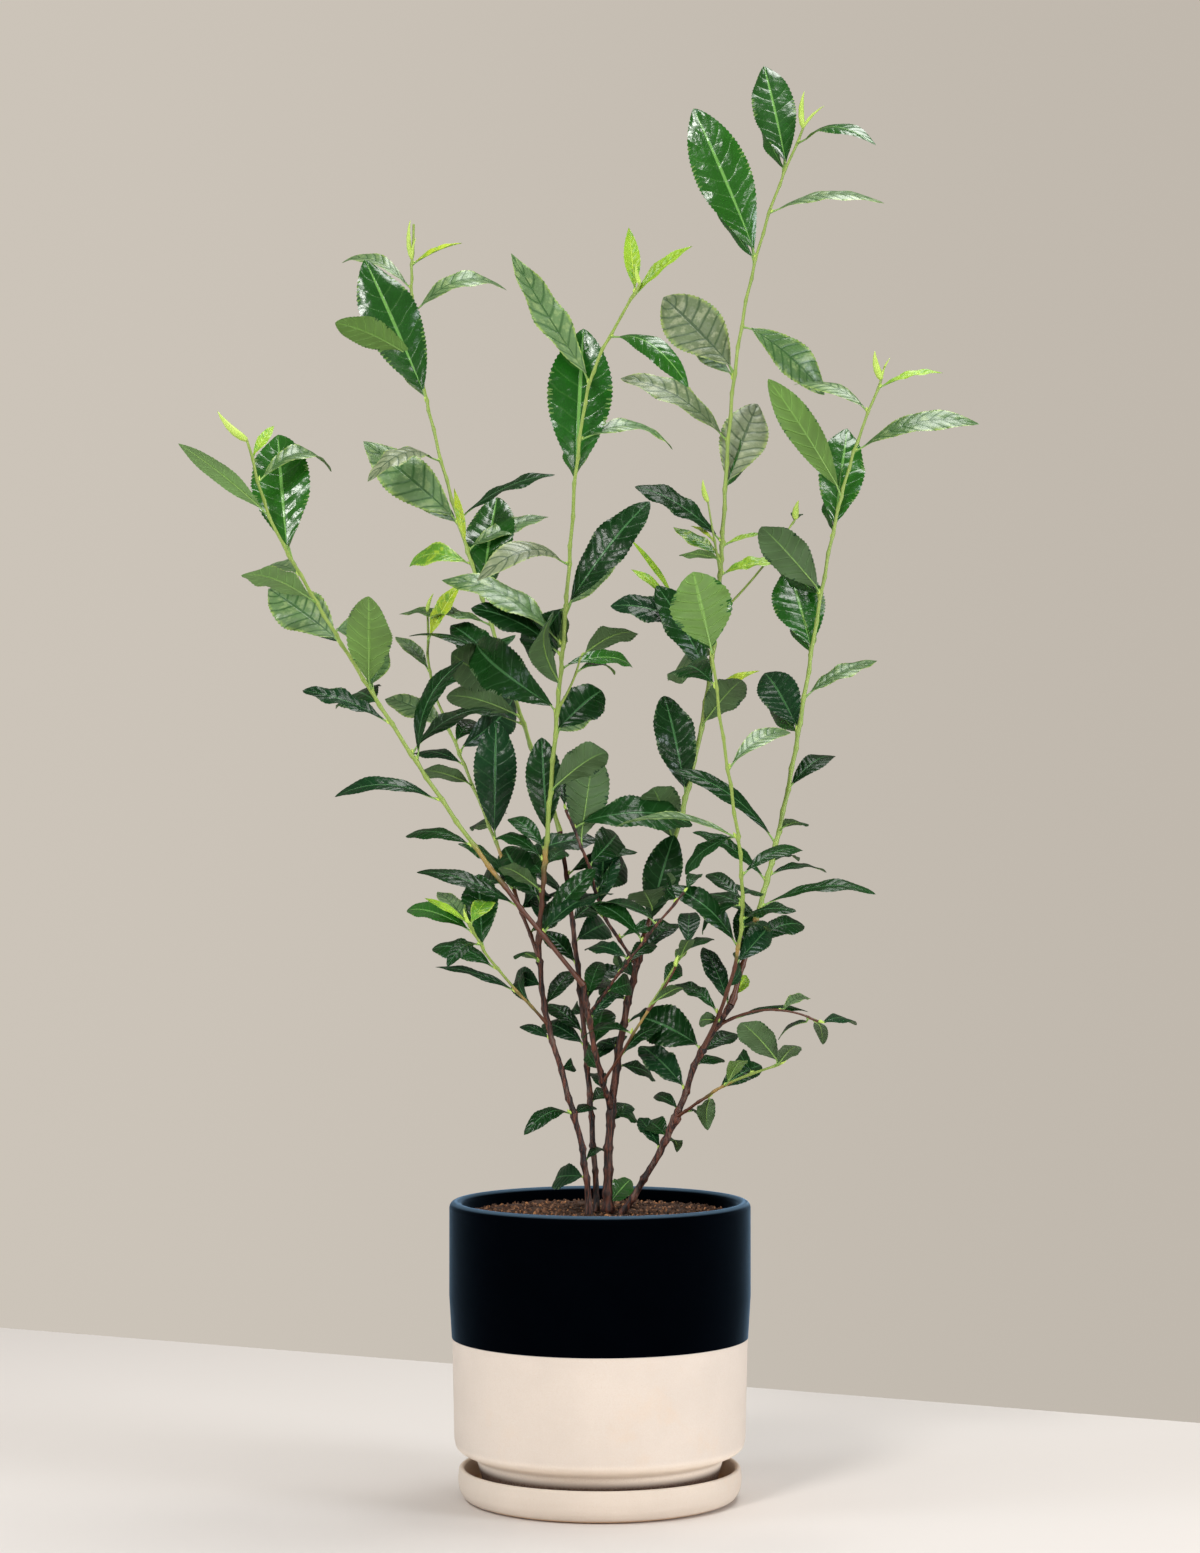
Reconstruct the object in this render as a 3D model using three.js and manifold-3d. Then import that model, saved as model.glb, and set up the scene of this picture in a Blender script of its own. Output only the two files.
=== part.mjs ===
// A potted tea bush: four stems rise from the soil of a round two-tone pot on a saucer, fork low down
// and carry long leafy shoots. Millimetres, +Z up, +Y to the back; the origin is the centre of the
// saucer's flat underside.
import * as THREE from "three";
import { mergeVertices } from "three/addons/utils/BufferGeometryUtils.js";
import Module from "manifold-3d";

const wasm = await Module();
wasm.setup();

// ---------------------------------------------------------------- driving sizes

const GAP = 0.3; // left between pieces that touch
const TURN_SIDES = 24; // facets round the pot and saucer
const LIMB_SIDES = 5; // facets round a stem or shoot

const SAUCER = {
  underside: 73, // radius of the flat it stands on
  heel: [79, 2.4], // its rounded lower edge, as [radius, height] points
  cheek: [83.8, 7.5],
  belly: [85, 12], // where it is widest
  height: 19.8,
  rimOuter: 84.4,
  rimInner: 81,
  wallFoot: [80, 9], // where the inside wall meets the floor's fillet
  floor: 6, // thickness of the dish's floor
  floorRadius: 76,
};

const POT = {
  foot: 71.5, // radius of the foot that stands in the saucer
  footTop: 25, // where the foot meets the slanted underside
  corner: [[83.7, 29], [86.2, 31.4], [87.2, 36]], // rounded lower corner, as [radius, height] points
  glazeLine: [88.5, 97], // bare clay below, black glaze above
  radius: 90, // from the next height up to the rim
  fullFrom: 122,
  height: 178,
  wall: 7,
  floor: 13, // height of the inside floor, which lies within the foot
  floorFillet: 5,
  shoulder: [32, 38], // heights where the inside widens from the foot to the wall
};
const LIP_STEPS = 3; // facets over a rounded rim

const SOIL_TOP = 170; // height of the soil's surface

const CLAY = { color: 0xecdac8, roughness: 0.85 };
const GLAZE = { color: 0x05070c, roughness: 0.35 };
const EARTH = { color: 0x4a2f20, roughness: 0.95 };
const BARK = { color: 0x4b2a22, roughness: 0.7 };
const GREEN_BARK = { color: 0x7f9a4a, roughness: 0.55 };
const LEAF = { color: 0x1f5a30, roughness: 0.45 };
const YOUNG_LEAF = { color: 0x6da83a, roughness: 0.45 };

// Every limb runs from its foot to its tip, bent by a bow (one arc), a sway (an S) and a hook (a turn
// near the tip), each as [x, y] offsets. A foot is a place on the soil, or a share of another limb.
const LIMBS = {
  stem_left: { foot: [-6.6, -6], tip: [-37, -10, 332], sway: [3.3, 0], girth: [1.9, 1.5], bark: BARK },
  stem_back: { foot: [-2, 9], tip: [-24.4, 32, 399], bow: [3, 0], girth: [1.8, 1.3], bark: BARK },
  stem_centre: { foot: [4.8, 1], tip: [26.6, 8, 335], bow: [-6.4, 0], girth: [2.8, 1.8], bark: BARK },
  stem_right: {
    foot: [12.6, -5], tip: [77.8, -25, 296.5], bow: [10, 0], hook: [16, 0], girth: [2, 1.7], bark: BARK,
  },
  stem_front: {
    foot: ["stem_centre", 0.35], tip: [-10, -22, 308], bow: [-1, -3], girth: [1.7, 1.5], bark: BARK,
  },
  shoot_centre: {
    foot: ["stem_left", 1], tip: [22.5, -130, 708.4], bow: [10, 6], sway: [-2.6, 0], hook: [47, 0],
    girth: [1.5, 0.8], bark: GREEN_BARK,
  },
  shoot_left_inner: {
    foot: ["stem_left", 0.92], tip: [-108, 80, 536.8], bow: [5.5, 0], hook: [23, 0],
    girth: [1.2, 0.7], bark: GREEN_BARK,
  },
  shoot_back: {
    foot: ["stem_back", 1], tip: [-119, 122, 787], bow: [-11, 0], sway: [2, 0], hook: [11.5, 0],
    girth: [1.3, 0.8], bark: GREEN_BARK,
  },
  branch_left: {
    foot: ["stem_front", 1], tip: [-203.7, -88, 624.8], bow: [-5, -10], sway: [-3, 0], hook: [25, 0],
    girth: [1.5, 0.8], bark: GREEN_BARK,
  },
  shoot_tall: {
    foot: ["stem_centre", 1], tip: [129, 108, 846], bow: [6, 0], sway: [9, 0], hook: [15, 0],
    girth: [1.6, 0.8], bark: GREEN_BARK,
  },
  shoot_right: {
    foot: ["stem_right", 1], tip: [173.5, 48, 678], bow: [5, 0], sway: [3, 0], hook: [12, 0],
    girth: [1.6, 0.8], bark: GREEN_BARK,
  },
  shoot_right_inner: {
    foot: ["stem_right", 0.75], tip: [63, -140, 498.3], bow: [23, 0], sway: [4, 0], hook: [5, 0],
    girth: [1.2, 0.8], bark: GREEN_BARK,
  },
  branch_centre_up: {
    foot: ["stem_centre", 0.89], tip: [-20.3, -15, 412], bow: [2, 0], sway: [-4, 0], hook: [10, 0],
    girth: [1.1, 0.8], bark: BARK,
  },
  twig_left_low: {
    foot: ["stem_left", 0.69], tip: [-76.7, -55, 345.4], hook: [6, 0], girth: [0.9, 0.7], bark: BARK,
  },
  twig_centre: {
    foot: ["stem_front", 0.76], tip: [48.8, -70, 363.8], bow: [-2, -8], girth: [0.9, 0.7], bark: BARK,
  },
  twig_low_centre: {
    foot: ["stem_front", 0.24], tip: [50.6, -45, 330.4], bow: [-1, -10], girth: [0.9, 0.7], bark: BARK,
  },
  twig_right_low: {
    foot: ["stem_right", 0.45], tip: [105, -70, 264.5], bow: [-3, 0], hook: [10, 0], girth: [1, 0.7],
    bark: BARK,
  },
};

// Every mass of leaves clothes a stretch of one limb, given as shares of it. It reaches out to the
// left, right, front and back by [reach, rise], and its crest stands above the limb's end.
const MASSES = {
  leaves_left_tip: {
    limb: "branch_left", span: [0.82, 1], left: [52, 33], right: [42, 12], front: [30, 45], back: [24, 78],
    crest: [-17, 18], young: true,
  },
  leaves_left_upper: {
    limb: "branch_left", span: [0.62, 0.75], left: [52, 30], right: [16, 26], front: [48, 22], back: [44, 28],
  },
  leaves_left_mid: {
    limb: "branch_left", span: [0.45, 0.58], left: [54, 20], right: [12, 54], front: [44, 18], back: [44, 24],
  },
  leaves_left_low: {
    limb: "branch_left", span: [0.29, 0.42], left: [64, 6], right: [36, 60], front: [42, 8], back: [40, 18],
  },
  leaves_left_foot: {
    limb: "branch_left", span: [0.13, 0.26], left: [56, 20], right: [14, 16], front: [34, 2], back: [26, 10],
  },
  leaves_back_tip: {
    limb: "shoot_back", span: [0.86, 1], left: [46, 20], right: [56, 14], front: [22, 14], back: [30, 12],
    young: true,
  },
  leaves_back_high: {
    limb: "shoot_back", span: [0.68, 0.82], left: [50, 24], right: [14, 40], front: [40, 22], back: [44, 84],
  },
  leaves_back_upper: {
    limb: "shoot_back", span: [0.49, 0.62], left: [62, 48], right: [16, 14], front: [40, -8], back: [46, 34],
  },
  leaves_back_mid: {
    limb: "shoot_back", span: [0.35, 0.46], left: [40, 8], right: [46, 26], front: [36, 14], back: [50, 50],
  },
  leaves_back_low: {
    limb: "shoot_back", span: [0.16, 0.3], left: [54, 12], right: [36, 30], front: [40, 6], back: [60, 24],
  },
  leaves_centre_tip: {
    limb: "shoot_centre", span: [0.88, 1], left: [46, 72], right: [48, -24], front: [28, 16],
    back: [30, 28], crest: [-4, 34], young: true,
  },
  leaves_centre_high: {
    limb: "shoot_centre", span: [0.7, 0.82], left: [16, 34], right: [54, -4], front: [44, 8], back: [20, 84],
  },
  leaves_centre_upper: {
    limb: "shoot_centre", span: [0.53, 0.64], left: [54, -8], right: [48, 62], front: [40, -6], back: [30, 54],
  },
  leaves_centre_mid: {
    limb: "shoot_centre", span: [0.37, 0.49], left: [88, 22], right: [48, 36], front: [44, 12], back: [42, 18],
  },
  leaves_centre_low: {
    limb: "shoot_centre", span: [0.22, 0.34], left: [14, 60], right: [34, 30], front: [40, 16], back: [38, 8],
  },
  leaves_centre_foot: {
    limb: "shoot_centre", span: [0.05, 0.17], left: [28, 20], right: [26, 16], front: [28, 6], back: [24, 6],
  },
  leaves_inner_left_tip: {
    limb: "shoot_left_inner", span: [0.74, 1], left: [26, 18], right: [22, 26], front: [34, 14],
    back: [40, 18], crest: [10, 12],
  },
  leaves_inner_left_low: {
    limb: "shoot_left_inner", span: [0.36, 0.6], left: [42, 22], right: [14, 66], front: [28, 6],
    back: [50, 14],
  },
  leaves_centre_up: {
    limb: "branch_centre_up", span: [0.6, 1], left: [16, 16], right: [28, 40], front: [34, 10],
    back: [44, 18], crest: [4, 50],
  },
  leaves_tall_tip: {
    limb: "shoot_tall", span: [0.93, 1], left: [14, 62], right: [44, -14], front: [22, 10], back: [24, 12],
    crest: [2, 22], young: true,
  },
  leaves_tall_high: {
    limb: "shoot_tall", span: [0.8, 0.9], left: [44, 94], right: [74, 8], front: [46, 18], back: [42, 28],
  },
  leaves_tall_upper: {
    limb: "shoot_tall", span: [0.66, 0.76], left: [50, 52], right: [20, 24], front: [46, 8], back: [52, 18],
  },
  leaves_tall_mid: {
    limb: "shoot_tall", span: [0.53, 0.62], left: [68, 40], right: [26, 58], front: [44, 8], back: [46, 18],
  },
  leaves_tall_low: {
    limb: "shoot_tall", span: [0.39, 0.5], left: [54, 34], right: [52, 46], front: [40, 16], back: [52, 22],
    young: true,
  },
  leaves_tall_foot: {
    limb: "shoot_tall", span: [0.22, 0.34], left: [36, 60], right: [26, 36], front: [38, 6], back: [52, 16],
  },
  leaves_tall_base: {
    limb: "shoot_tall", span: [0.05, 0.17], left: [30, 24], right: [34, 18], front: [34, 6], back: [42, 8],
  },
  leaves_right_tip: {
    limb: "shoot_right", span: [0.89, 1], left: [66, 48], right: [74, 12], front: [26, 14], back: [30, 18],
    crest: [-2, 18], young: true,
  },
  leaves_right_upper: {
    limb: "shoot_right", span: [0.73, 0.84], left: [44, 64], right: [14, 58], front: [40, 8], back: [34, 60],
  },
  leaves_right_mid: {
    limb: "shoot_right", span: [0.53, 0.65], left: [40, 46], right: [16, 30], front: [40, 8], back: [44, 42],
  },
  leaves_right_low: {
    limb: "shoot_right", span: [0.38, 0.5], left: [26, 38], right: [54, 20], front: [40, 12], back: [50, 18],
  },
  leaves_right_foot: {
    limb: "shoot_right", span: [0.22, 0.34], left: [58, 38], right: [34, 14], front: [30, 4], back: [50, 12],
  },
  leaves_right_base: {
    limb: "shoot_right", span: [0.06, 0.18], left: [26, 24], right: [62, 8], front: [30, 4], back: [46, 8],
  },
  leaves_inner_right_tip: {
    limb: "shoot_right_inner", span: [0.84, 1], left: [24, 10], right: [16, 14], front: [26, 18],
    back: [20, 16], crest: [-9, 50],
  },
  leaves_inner_right_mid: {
    limb: "shoot_right_inner", span: [0.45, 0.68], left: [72, 10], right: [36, 22], front: [34, 6],
    back: [18, 6],
  },
  leaves_right_low_twig: {
    limb: "twig_right_low", span: [0.35, 1], left: [14, 24], right: [44, 22], front: [30, 4], back: [40, 10],
    crest: [20, 4],
  },
  leaves_centre_twig: {
    limb: "twig_centre", span: [0.55, 1], left: [26, -6], right: [24, 16], front: [28, 6], back: [20, 6],
    crest: [6, 20],
  },
  leaves_low_centre: {
    limb: "twig_low_centre", span: [0.35, 1], left: [14, -18], right: [30, -12], front: [28, 2],
    back: [18, 4], crest: [4, 14],
  },
  leaves_left_low_twig: {
    limb: "twig_left_low", span: [0.4, 1], left: [46, 18], right: [14, 26], front: [30, 4], back: [34, 12],
    crest: [-8, 34],
  },
};

const MASS = {
  core: 7, // radius of the part wrapped round the limb
  base: 0.32, // where a tongue is first full, and where last, as shares of its length
  crown: 0.68,
  width: 0.19, // half width and half thickness of a tongue, as shares of its length
  depth: 0.13,
  stagger: 22, // how far, in degrees, a tongue may turn from its side
  spacing: 0.22, // how far apart the four sides leave the limb, as a share of the span
};

// ---------------------------------------------------------------- helpers

const vector = (x, y, z) => new THREE.Vector3(x, y, z);
const UP = vector(0, 0, 1);
const BACK = vector(0, 1, 0);

// A small repeatable random source, so that the bush comes out the same every time.
function dice(seed) {
  let state = seed * 2654435761;
  return () => {
    state = (Math.imul(state ^ (state >>> 15), 2246822519) + 3266489917) >>> 0;
    return state / 4294967296;
  };
}

// Joins rings of points, all with the same count, into one closed surface. A ring of one point is a tip.
function loft(rings) {
  const points = rings.flat();
  const faces = [];
  const starts = rings.map((_, i) => rings.slice(0, i).reduce((sum, ring) => sum + ring.length, 0));
  const sides = Math.max(...rings.map((ring) => ring.length));
  const corner = (ring, k) => starts[ring] + (k % rings[ring].length);
  for (let i = 0; i + 1 < rings.length; i++) {
    for (let k = 0; k < sides; k++) {
      const [a, b, c, d] = [corner(i, k), corner(i, k + 1), corner(i + 1, k + 1), corner(i + 1, k)];
      if (a !== b) faces.push(a, b, c);
      if (c !== d) faces.push(a, c, d);
    }
  }
  const last = rings.length - 1;
  for (let k = 1; k + 1 < rings[0].length; k++) faces.push(corner(0, 0), corner(0, k + 1), corner(0, k));
  for (let k = 1; k + 1 < rings[last].length; k++) {
    faces.push(corner(last, 0), corner(last, k), corner(last, k + 1));
  }
  const geometry = new THREE.BufferGeometry().setFromPoints(points);
  geometry.setIndex(faces);
  return geometry;
}

// Six times the volume that a closed surface holds; negative where its faces point inwards.
function signedVolume(geometry) {
  const place = geometry.getAttribute("position");
  const index = geometry.getIndex();
  let sum = 0;
  for (let i = 0; i < index.count; i += 3) {
    const [a, b, c] = [0, 1, 2].map((k) => vector().fromBufferAttribute(place, index.getX(i + k)));
    sum += a.dot(b.cross(c));
  }
  return sum;
}

function toSolid(geometry) {
  const vertProperties = new Float32Array(geometry.getAttribute("position").array);
  const triVerts = new Uint32Array(geometry.getIndex().array);
  if (signedVolume(geometry) < 0) triVerts.reverse();
  return new wasm.Manifold(new wasm.Mesh({ numProp: 3, vertProperties, triVerts }));
}

function toGeometry(solid) {
  const { vertProperties, triVerts } = solid.getMesh();
  const geometry = new THREE.BufferGeometry();
  geometry.setAttribute("position", new THREE.BufferAttribute(new Float32Array(vertProperties), 3));
  geometry.setIndex(new THREE.BufferAttribute(new Uint32Array(triVerts), 1));
  geometry.computeVertexNormals();
  return geometry;
}

const group = new THREE.Group();

function add(name, solid, look) {
  const mesh = new THREE.Mesh(toGeometry(solid), new THREE.MeshStandardMaterial({ metalness: 0, ...look }));
  mesh.name = name;
  group.add(mesh);
}

// ---------------------------------------------------------------- pot, saucer and soil

// Turns an outline of [radius, height] points, which starts and ends on the axis, about the Z axis.
function turned(outline) {
  const profile = outline.map(([radius, height]) => new THREE.Vector2(radius, height));
  const lathe = new THREE.LatheGeometry(profile, TURN_SIDES).rotateX(Math.PI / 2);
  lathe.deleteAttribute("normal");
  lathe.deleteAttribute("uv");
  return toSolid(mergeVertices(lathe, 1e-3));
}

// Points on a quarter turn or more about a centre, from one angle to another in degrees.
function arc([x, y], radius, from, to, steps) {
  return Array.from({ length: steps + 1 }, (_, i) => {
    const angle = THREE.MathUtils.degToRad(from + ((to - from) * i) / steps);
    return [x + radius * Math.cos(angle), y + radius * Math.sin(angle)];
  });
}

function saucer() {
  const lip = (SAUCER.rimOuter - SAUCER.rimInner) / 2;
  return turned([
    [0, 0],
    [SAUCER.underside, 0],
    SAUCER.heel,
    SAUCER.cheek,
    SAUCER.belly,
    ...arc([SAUCER.rimInner + lip, SAUCER.height - lip], lip, 0, 180, LIP_STEPS),
    SAUCER.wallFoot,
    [SAUCER.floorRadius, SAUCER.floor],
    [0, SAUCER.floor],
  ]);
}

function pot() {
  const lip = POT.wall / 2;
  const inner = POT.radius - POT.wall;
  const stand = SAUCER.floor + GAP;
  return turned([
    [0, stand],
    [POT.foot, stand],
    [POT.foot, POT.footTop],
    ...POT.corner,
    POT.glazeLine,
    [POT.radius, POT.fullFrom],
    ...arc([inner + lip, POT.height - lip], lip, 0, 180, LIP_STEPS),
    ...hollow(0).reverse(),
  ]);
}

// The outline of the inside of the pot from the floor's middle up to the wall, drawn in by a clearance.
function hollow(clearance) {
  const foot = POT.foot - POT.wall - clearance;
  const [low, high] = POT.shoulder;
  return [
    [0, POT.floor + clearance],
    [foot - POT.floorFillet, POT.floor + clearance],
    [foot, POT.floor + POT.floorFillet + clearance],
    [foot, low + clearance],
    [POT.radius - POT.wall - clearance, high + clearance],
  ];
}

function soil() {
  const outline = hollow(GAP);
  const [radius] = outline.at(-1);
  return turned([...outline, [radius, SOIL_TOP], [0, SOIL_TOP]]);
}

// ---------------------------------------------------------------- stems, branches and shoots

// The place on a limb's centre line at a share of its way from foot to tip.
function along(name, share) {
  const { foot, tip, bow = [0, 0], sway = [0, 0], hook = [0, 0] } = LIMBS[name];
  const start = typeof foot[0] === "string" ? along(...foot) : vector(...foot, SOIL_TOP + GAP);
  const place = start.lerp(vector(...tip), share);
  const bends = [
    [bow, 4 * share * (1 - share)],
    [sway, Math.sin(2 * Math.PI * share)],
    [hook, share ** 8 - share],
  ];
  bends.forEach(([offset, amount]) => place.addScaledVector(vector(...offset, 0), amount));
  return place;
}

function heading(name, share) {
  const step = 0.01;
  const low = Math.min(Math.max(share - step, 0), 1 - 2 * step);
  return along(name, low + 2 * step).sub(along(name, low)).normalize();
}

const ROOT_FLARE = 0.3; // how much wider a stem is at the soil, as a share of its radius
const FLARE_SHARE = 0.06; // and how far up it that reaches
const RINGS_BASE = 2; // a limb has this many stretches
const RING_SPACING = 65; // and one more for each such rise

function limbRadius(name, share) {
  const { foot, girth } = LIMBS[name];
  const rooted = typeof foot[0] === "number";
  const flare = rooted ? ROOT_FLARE * Math.max(0, 1 - share / FLARE_SHARE) : 0;
  return THREE.MathUtils.lerp(girth[0], girth[1], share) * (1 + flare);
}

// A tapering tube round a limb's centre line, wider all round by extra where it cuts another piece.
function limb(name, extra = 0) {
  const { foot, tip } = LIMBS[name];
  const rooted = typeof foot[0] === "number";
  const steps = Math.round(RINGS_BASE + (tip[2] - along(name, 0).z) / RING_SPACING);
  const shares = Array.from({ length: steps + 1 }, (_, i) => i / steps);
  if (rooted) shares.splice(1, 0, FLARE_SHARE);
  const rings = shares.map((share, i) => {
    const centre = along(name, share);
    const onward = rooted && i === 0 ? UP.clone() : heading(name, share);
    if (extra) centre.addScaledVector(onward, i === 0 ? -extra : i === shares.length - 1 ? extra : 0);
    const across = onward.clone().cross(BACK).normalize();
    const through = across.clone().cross(onward);
    const radius = limbRadius(name, share) + extra;
    return Array.from({ length: LIMB_SIDES }, (_, k) => {
      const angle = (2 * Math.PI * k) / LIMB_SIDES;
      const rim = centre.clone().addScaledVector(across, radius * Math.cos(angle));
      return rim.addScaledVector(through, radius * Math.sin(angle));
    });
  });
  return toSolid(loft(rings));
}

// A limb that springs from another is cut off where it meets it.
function limbInPlace(name) {
  const { foot } = LIMBS[name];
  return typeof foot[0] === "string" ? limb(name).subtract(limb(foot[0], GAP)) : limb(name);
}

// ---------------------------------------------------------------- masses of leaves

// The wrap of leaves and leaf stalks round a limb from one share to another, a many-sided spindle.
function wrap(name, [from, to], extra) {
  const waist = Array.from({ length: LIMB_SIDES }, (_, k) => {
    const angle = (2 * Math.PI * k) / LIMB_SIDES;
    const radius = MASS.core + extra;
    return along(name, (from + to) / 2).add(vector(radius * Math.cos(angle), radius * Math.sin(angle), 0));
  });
  return toSolid(loft([[along(name, from)], waist, [along(name, to)]]));
}

// One tongue of a mass: a pointed three-edged spindle from a place on the limb along its reach.
function tongue(root, reach, extra) {
  const length = reach.length();
  const onward = reach.clone().normalize();
  const across = onward.clone().cross(Math.abs(onward.z) > 0.9 ? BACK : UP).normalize();
  const through = across.clone().cross(onward);
  const ring = (share, size) => {
    const centre = root.clone().addScaledVector(reach, share);
    const wide = size * MASS.width * length + 2 * extra;
    const deep = size * MASS.depth * length + 2 * extra;
    return [[wide, -deep], [0, deep], [-wide, -deep]].map(([x, y]) =>
      centre.clone().addScaledVector(across, x).addScaledVector(through, y));
  };
  const end = root.clone().addScaledVector(onward, length + extra);
  return toSolid(loft([[root.clone()], ring(MASS.base, 0.85), ring(MASS.crown, 1), [end]]));
}

const SIDES = { left: 180, front: 270, right: 0, back: 90 }; // headings in degrees

function reachOf([out, rise], degrees) {
  const angle = THREE.MathUtils.degToRad(degrees);
  return vector(out * Math.cos(angle), out * Math.sin(angle), rise);
}

// A mass is its wrap and its tongues. Each tongue is drawn in until it is clear of the masses made before.
function mass(name, seed, made) {
  const spec = MASSES[name];
  const [from, to] = spec.span;
  const roll = dice(seed);
  const parts = [wrap(spec.limb, spec.span, 0)];
  const grown = [wrap(spec.limb, spec.span, GAP)];
  const tongues = Object.entries(SIDES).map(([side, degrees], i) => {
    const turn = (roll() * 2 - 1) * MASS.stagger;
    const share = (from + to) / 2 + (i - 1.5) * MASS.spacing * (to - from);
    return [along(spec.limb, share), reachOf(spec[side], degrees + turn)];
  });
  if (spec.crest) {
    const root = along(spec.limb, from + 0.8 * (to - from));
    const peak = along(spec.limb, Math.min(to, 1)).add(vector(spec.crest[0], 0, spec.crest[1]));
    tongues.push([root, peak.sub(root)]);
  }
  for (const [root, reach] of tongues) {
    while (made.some((other) => other.intersect(tongue(root, reach, GAP)).volume() > 0)) {
      reach.multiplyScalar(0.9);
    }
    parts.push(tongue(root, reach, 0));
    grown.push(tongue(root, reach, GAP));
  }
  made.push(grown.reduce((whole, piece) => whole.add(piece)));
  return parts.reduce((whole, piece) => whole.add(piece));
}

// ---------------------------------------------------------------- assembly

add("saucer", saucer(), CLAY);
add("pot", pot(), GLAZE);
add("soil", soil(), EARTH);

const channels = Object.keys(LIMBS).map((name) => limb(name, GAP));
Object.entries(LIMBS).forEach(([name, { bark }]) => add(name, limbInPlace(name), bark));

const made = [];
Object.entries(MASSES).forEach(([name, { young }], i) => {
  const whole = mass(name, i + 1, made);
  const cut = channels.reduce((solid, channel) => solid.subtract(channel), whole);
  add(name, cut, young ? YOUNG_LEAF : LEAF);
});

export default group;
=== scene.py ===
import math
from random import Random

import bmesh
import bpy
import numpy as np
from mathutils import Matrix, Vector, noise


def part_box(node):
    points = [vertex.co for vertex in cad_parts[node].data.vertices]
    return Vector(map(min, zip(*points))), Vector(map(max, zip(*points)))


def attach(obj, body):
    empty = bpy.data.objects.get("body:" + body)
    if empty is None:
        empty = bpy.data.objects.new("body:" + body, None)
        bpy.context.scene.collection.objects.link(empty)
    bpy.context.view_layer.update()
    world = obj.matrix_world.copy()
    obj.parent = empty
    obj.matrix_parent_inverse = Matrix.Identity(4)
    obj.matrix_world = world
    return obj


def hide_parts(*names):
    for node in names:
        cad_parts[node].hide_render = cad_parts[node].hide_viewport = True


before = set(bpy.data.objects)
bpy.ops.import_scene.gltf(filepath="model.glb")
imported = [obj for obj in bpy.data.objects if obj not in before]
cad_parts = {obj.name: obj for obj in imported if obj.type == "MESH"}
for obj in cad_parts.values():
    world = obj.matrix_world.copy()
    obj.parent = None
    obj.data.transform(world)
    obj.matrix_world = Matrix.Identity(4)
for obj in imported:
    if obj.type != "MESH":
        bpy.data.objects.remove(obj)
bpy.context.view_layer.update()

MM = 0.001
UP = np.array([0.0, 0.0, 1.0])
FRONT = np.array([0.0, -1.0, 0.0])
SIDEWAYS = np.array([1.0, 0.0, 0.0])


def link(name, data, place=(0, 0, 0)):
    """Puts a new object in the scene."""
    thing = bpy.data.objects.new(name, data)
    thing.location = place
    bpy.context.scene.collection.objects.link(thing)
    return thing


# ---------------- material nodes


class Value:
    """A number or colour on its way between nodes. Arithmetic on it adds the node that works it out."""

    def __init__(self, graph, socket):
        self.graph, self.socket = graph, socket

    def __add__(self, other):
        return self.graph.math("ADD", self, other)

    def __sub__(self, other):
        return self.graph.math("SUBTRACT", self, other)

    def __rsub__(self, other):
        return self.graph.math("SUBTRACT", other, self)

    def __mul__(self, other):
        return self.graph.math("MULTIPLY", self, other)

    def __pow__(self, other):
        return self.graph.math("POWER", self, other)

    def __abs__(self):
        return self.graph.math("ABSOLUTE", self)

    def remap(self, low, high, to_low=0.0, to_high=1.0):
        """Runs smoothly from one number to another while this one runs from low to high."""
        inputs = {"Value": self, "From Min": low, "From Max": high, "To Min": to_low, "To Max": to_high}
        return self.graph.value("ShaderNodeMapRange", inputs, interpolation_type="SMOOTHSTEP")

    def blend(self, a, b):
        """Between two colours, this far from the first."""
        node = self.graph.add("ShaderNodeMix", data_type="RGBA")
        for key, value in (("Factor_Float", self), ("A_Color", a), ("B_Color", b)):
            self.graph.plug(next(s for s in node.inputs if s.identifier == key), value)
        return Value(self.graph, next(s for s in node.outputs if s.identifier == "Result_Color"))


class Graph:
    """Short ways to add and join the nodes of one tree."""

    place = None  # where its patterns are read from

    def __init__(self, tree):
        self.tree = tree

    def add(self, kind, inputs=None, **settings):
        node = self.tree.nodes.new(kind)
        for key, value in settings.items():
            setattr(node, key, value)
        for key, value in (inputs or {}).items():
            self.plug(node.inputs[key], value)
        return node

    def plug(self, socket, value):
        if isinstance(value, Value):
            self.tree.links.new(value.socket, socket)
        elif isinstance(value, bpy.types.NodeSocket):
            self.tree.links.new(value, socket)
        elif isinstance(value, bpy.types.Node):
            self.tree.links.new(value.outputs[0], socket)
        elif socket.type == "RGBA":
            socket.default_value = (*value, 1.0)
        else:
            socket.default_value = value

    def value(self, kind, inputs=None, output=0, **settings):
        return Value(self, self.add(kind, inputs, **settings).outputs[output])

    def math(self, operation, a, b=0.0):
        return self.value("ShaderNodeMath", {0: a, 1: b}, operation=operation)

    def stretch(self, place, scale):
        return self.add("ShaderNodeVectorMath", {0: place, 1: scale}, operation="MULTIPLY")

    def noise(self, scale, detail=2.0, roughness=0.5, place=None):
        inputs = {"Vector": place or self.place, "Scale": scale, "Detail": detail, "Roughness": roughness}
        return self.value("ShaderNodeTexNoise", inputs, "Fac")


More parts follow.
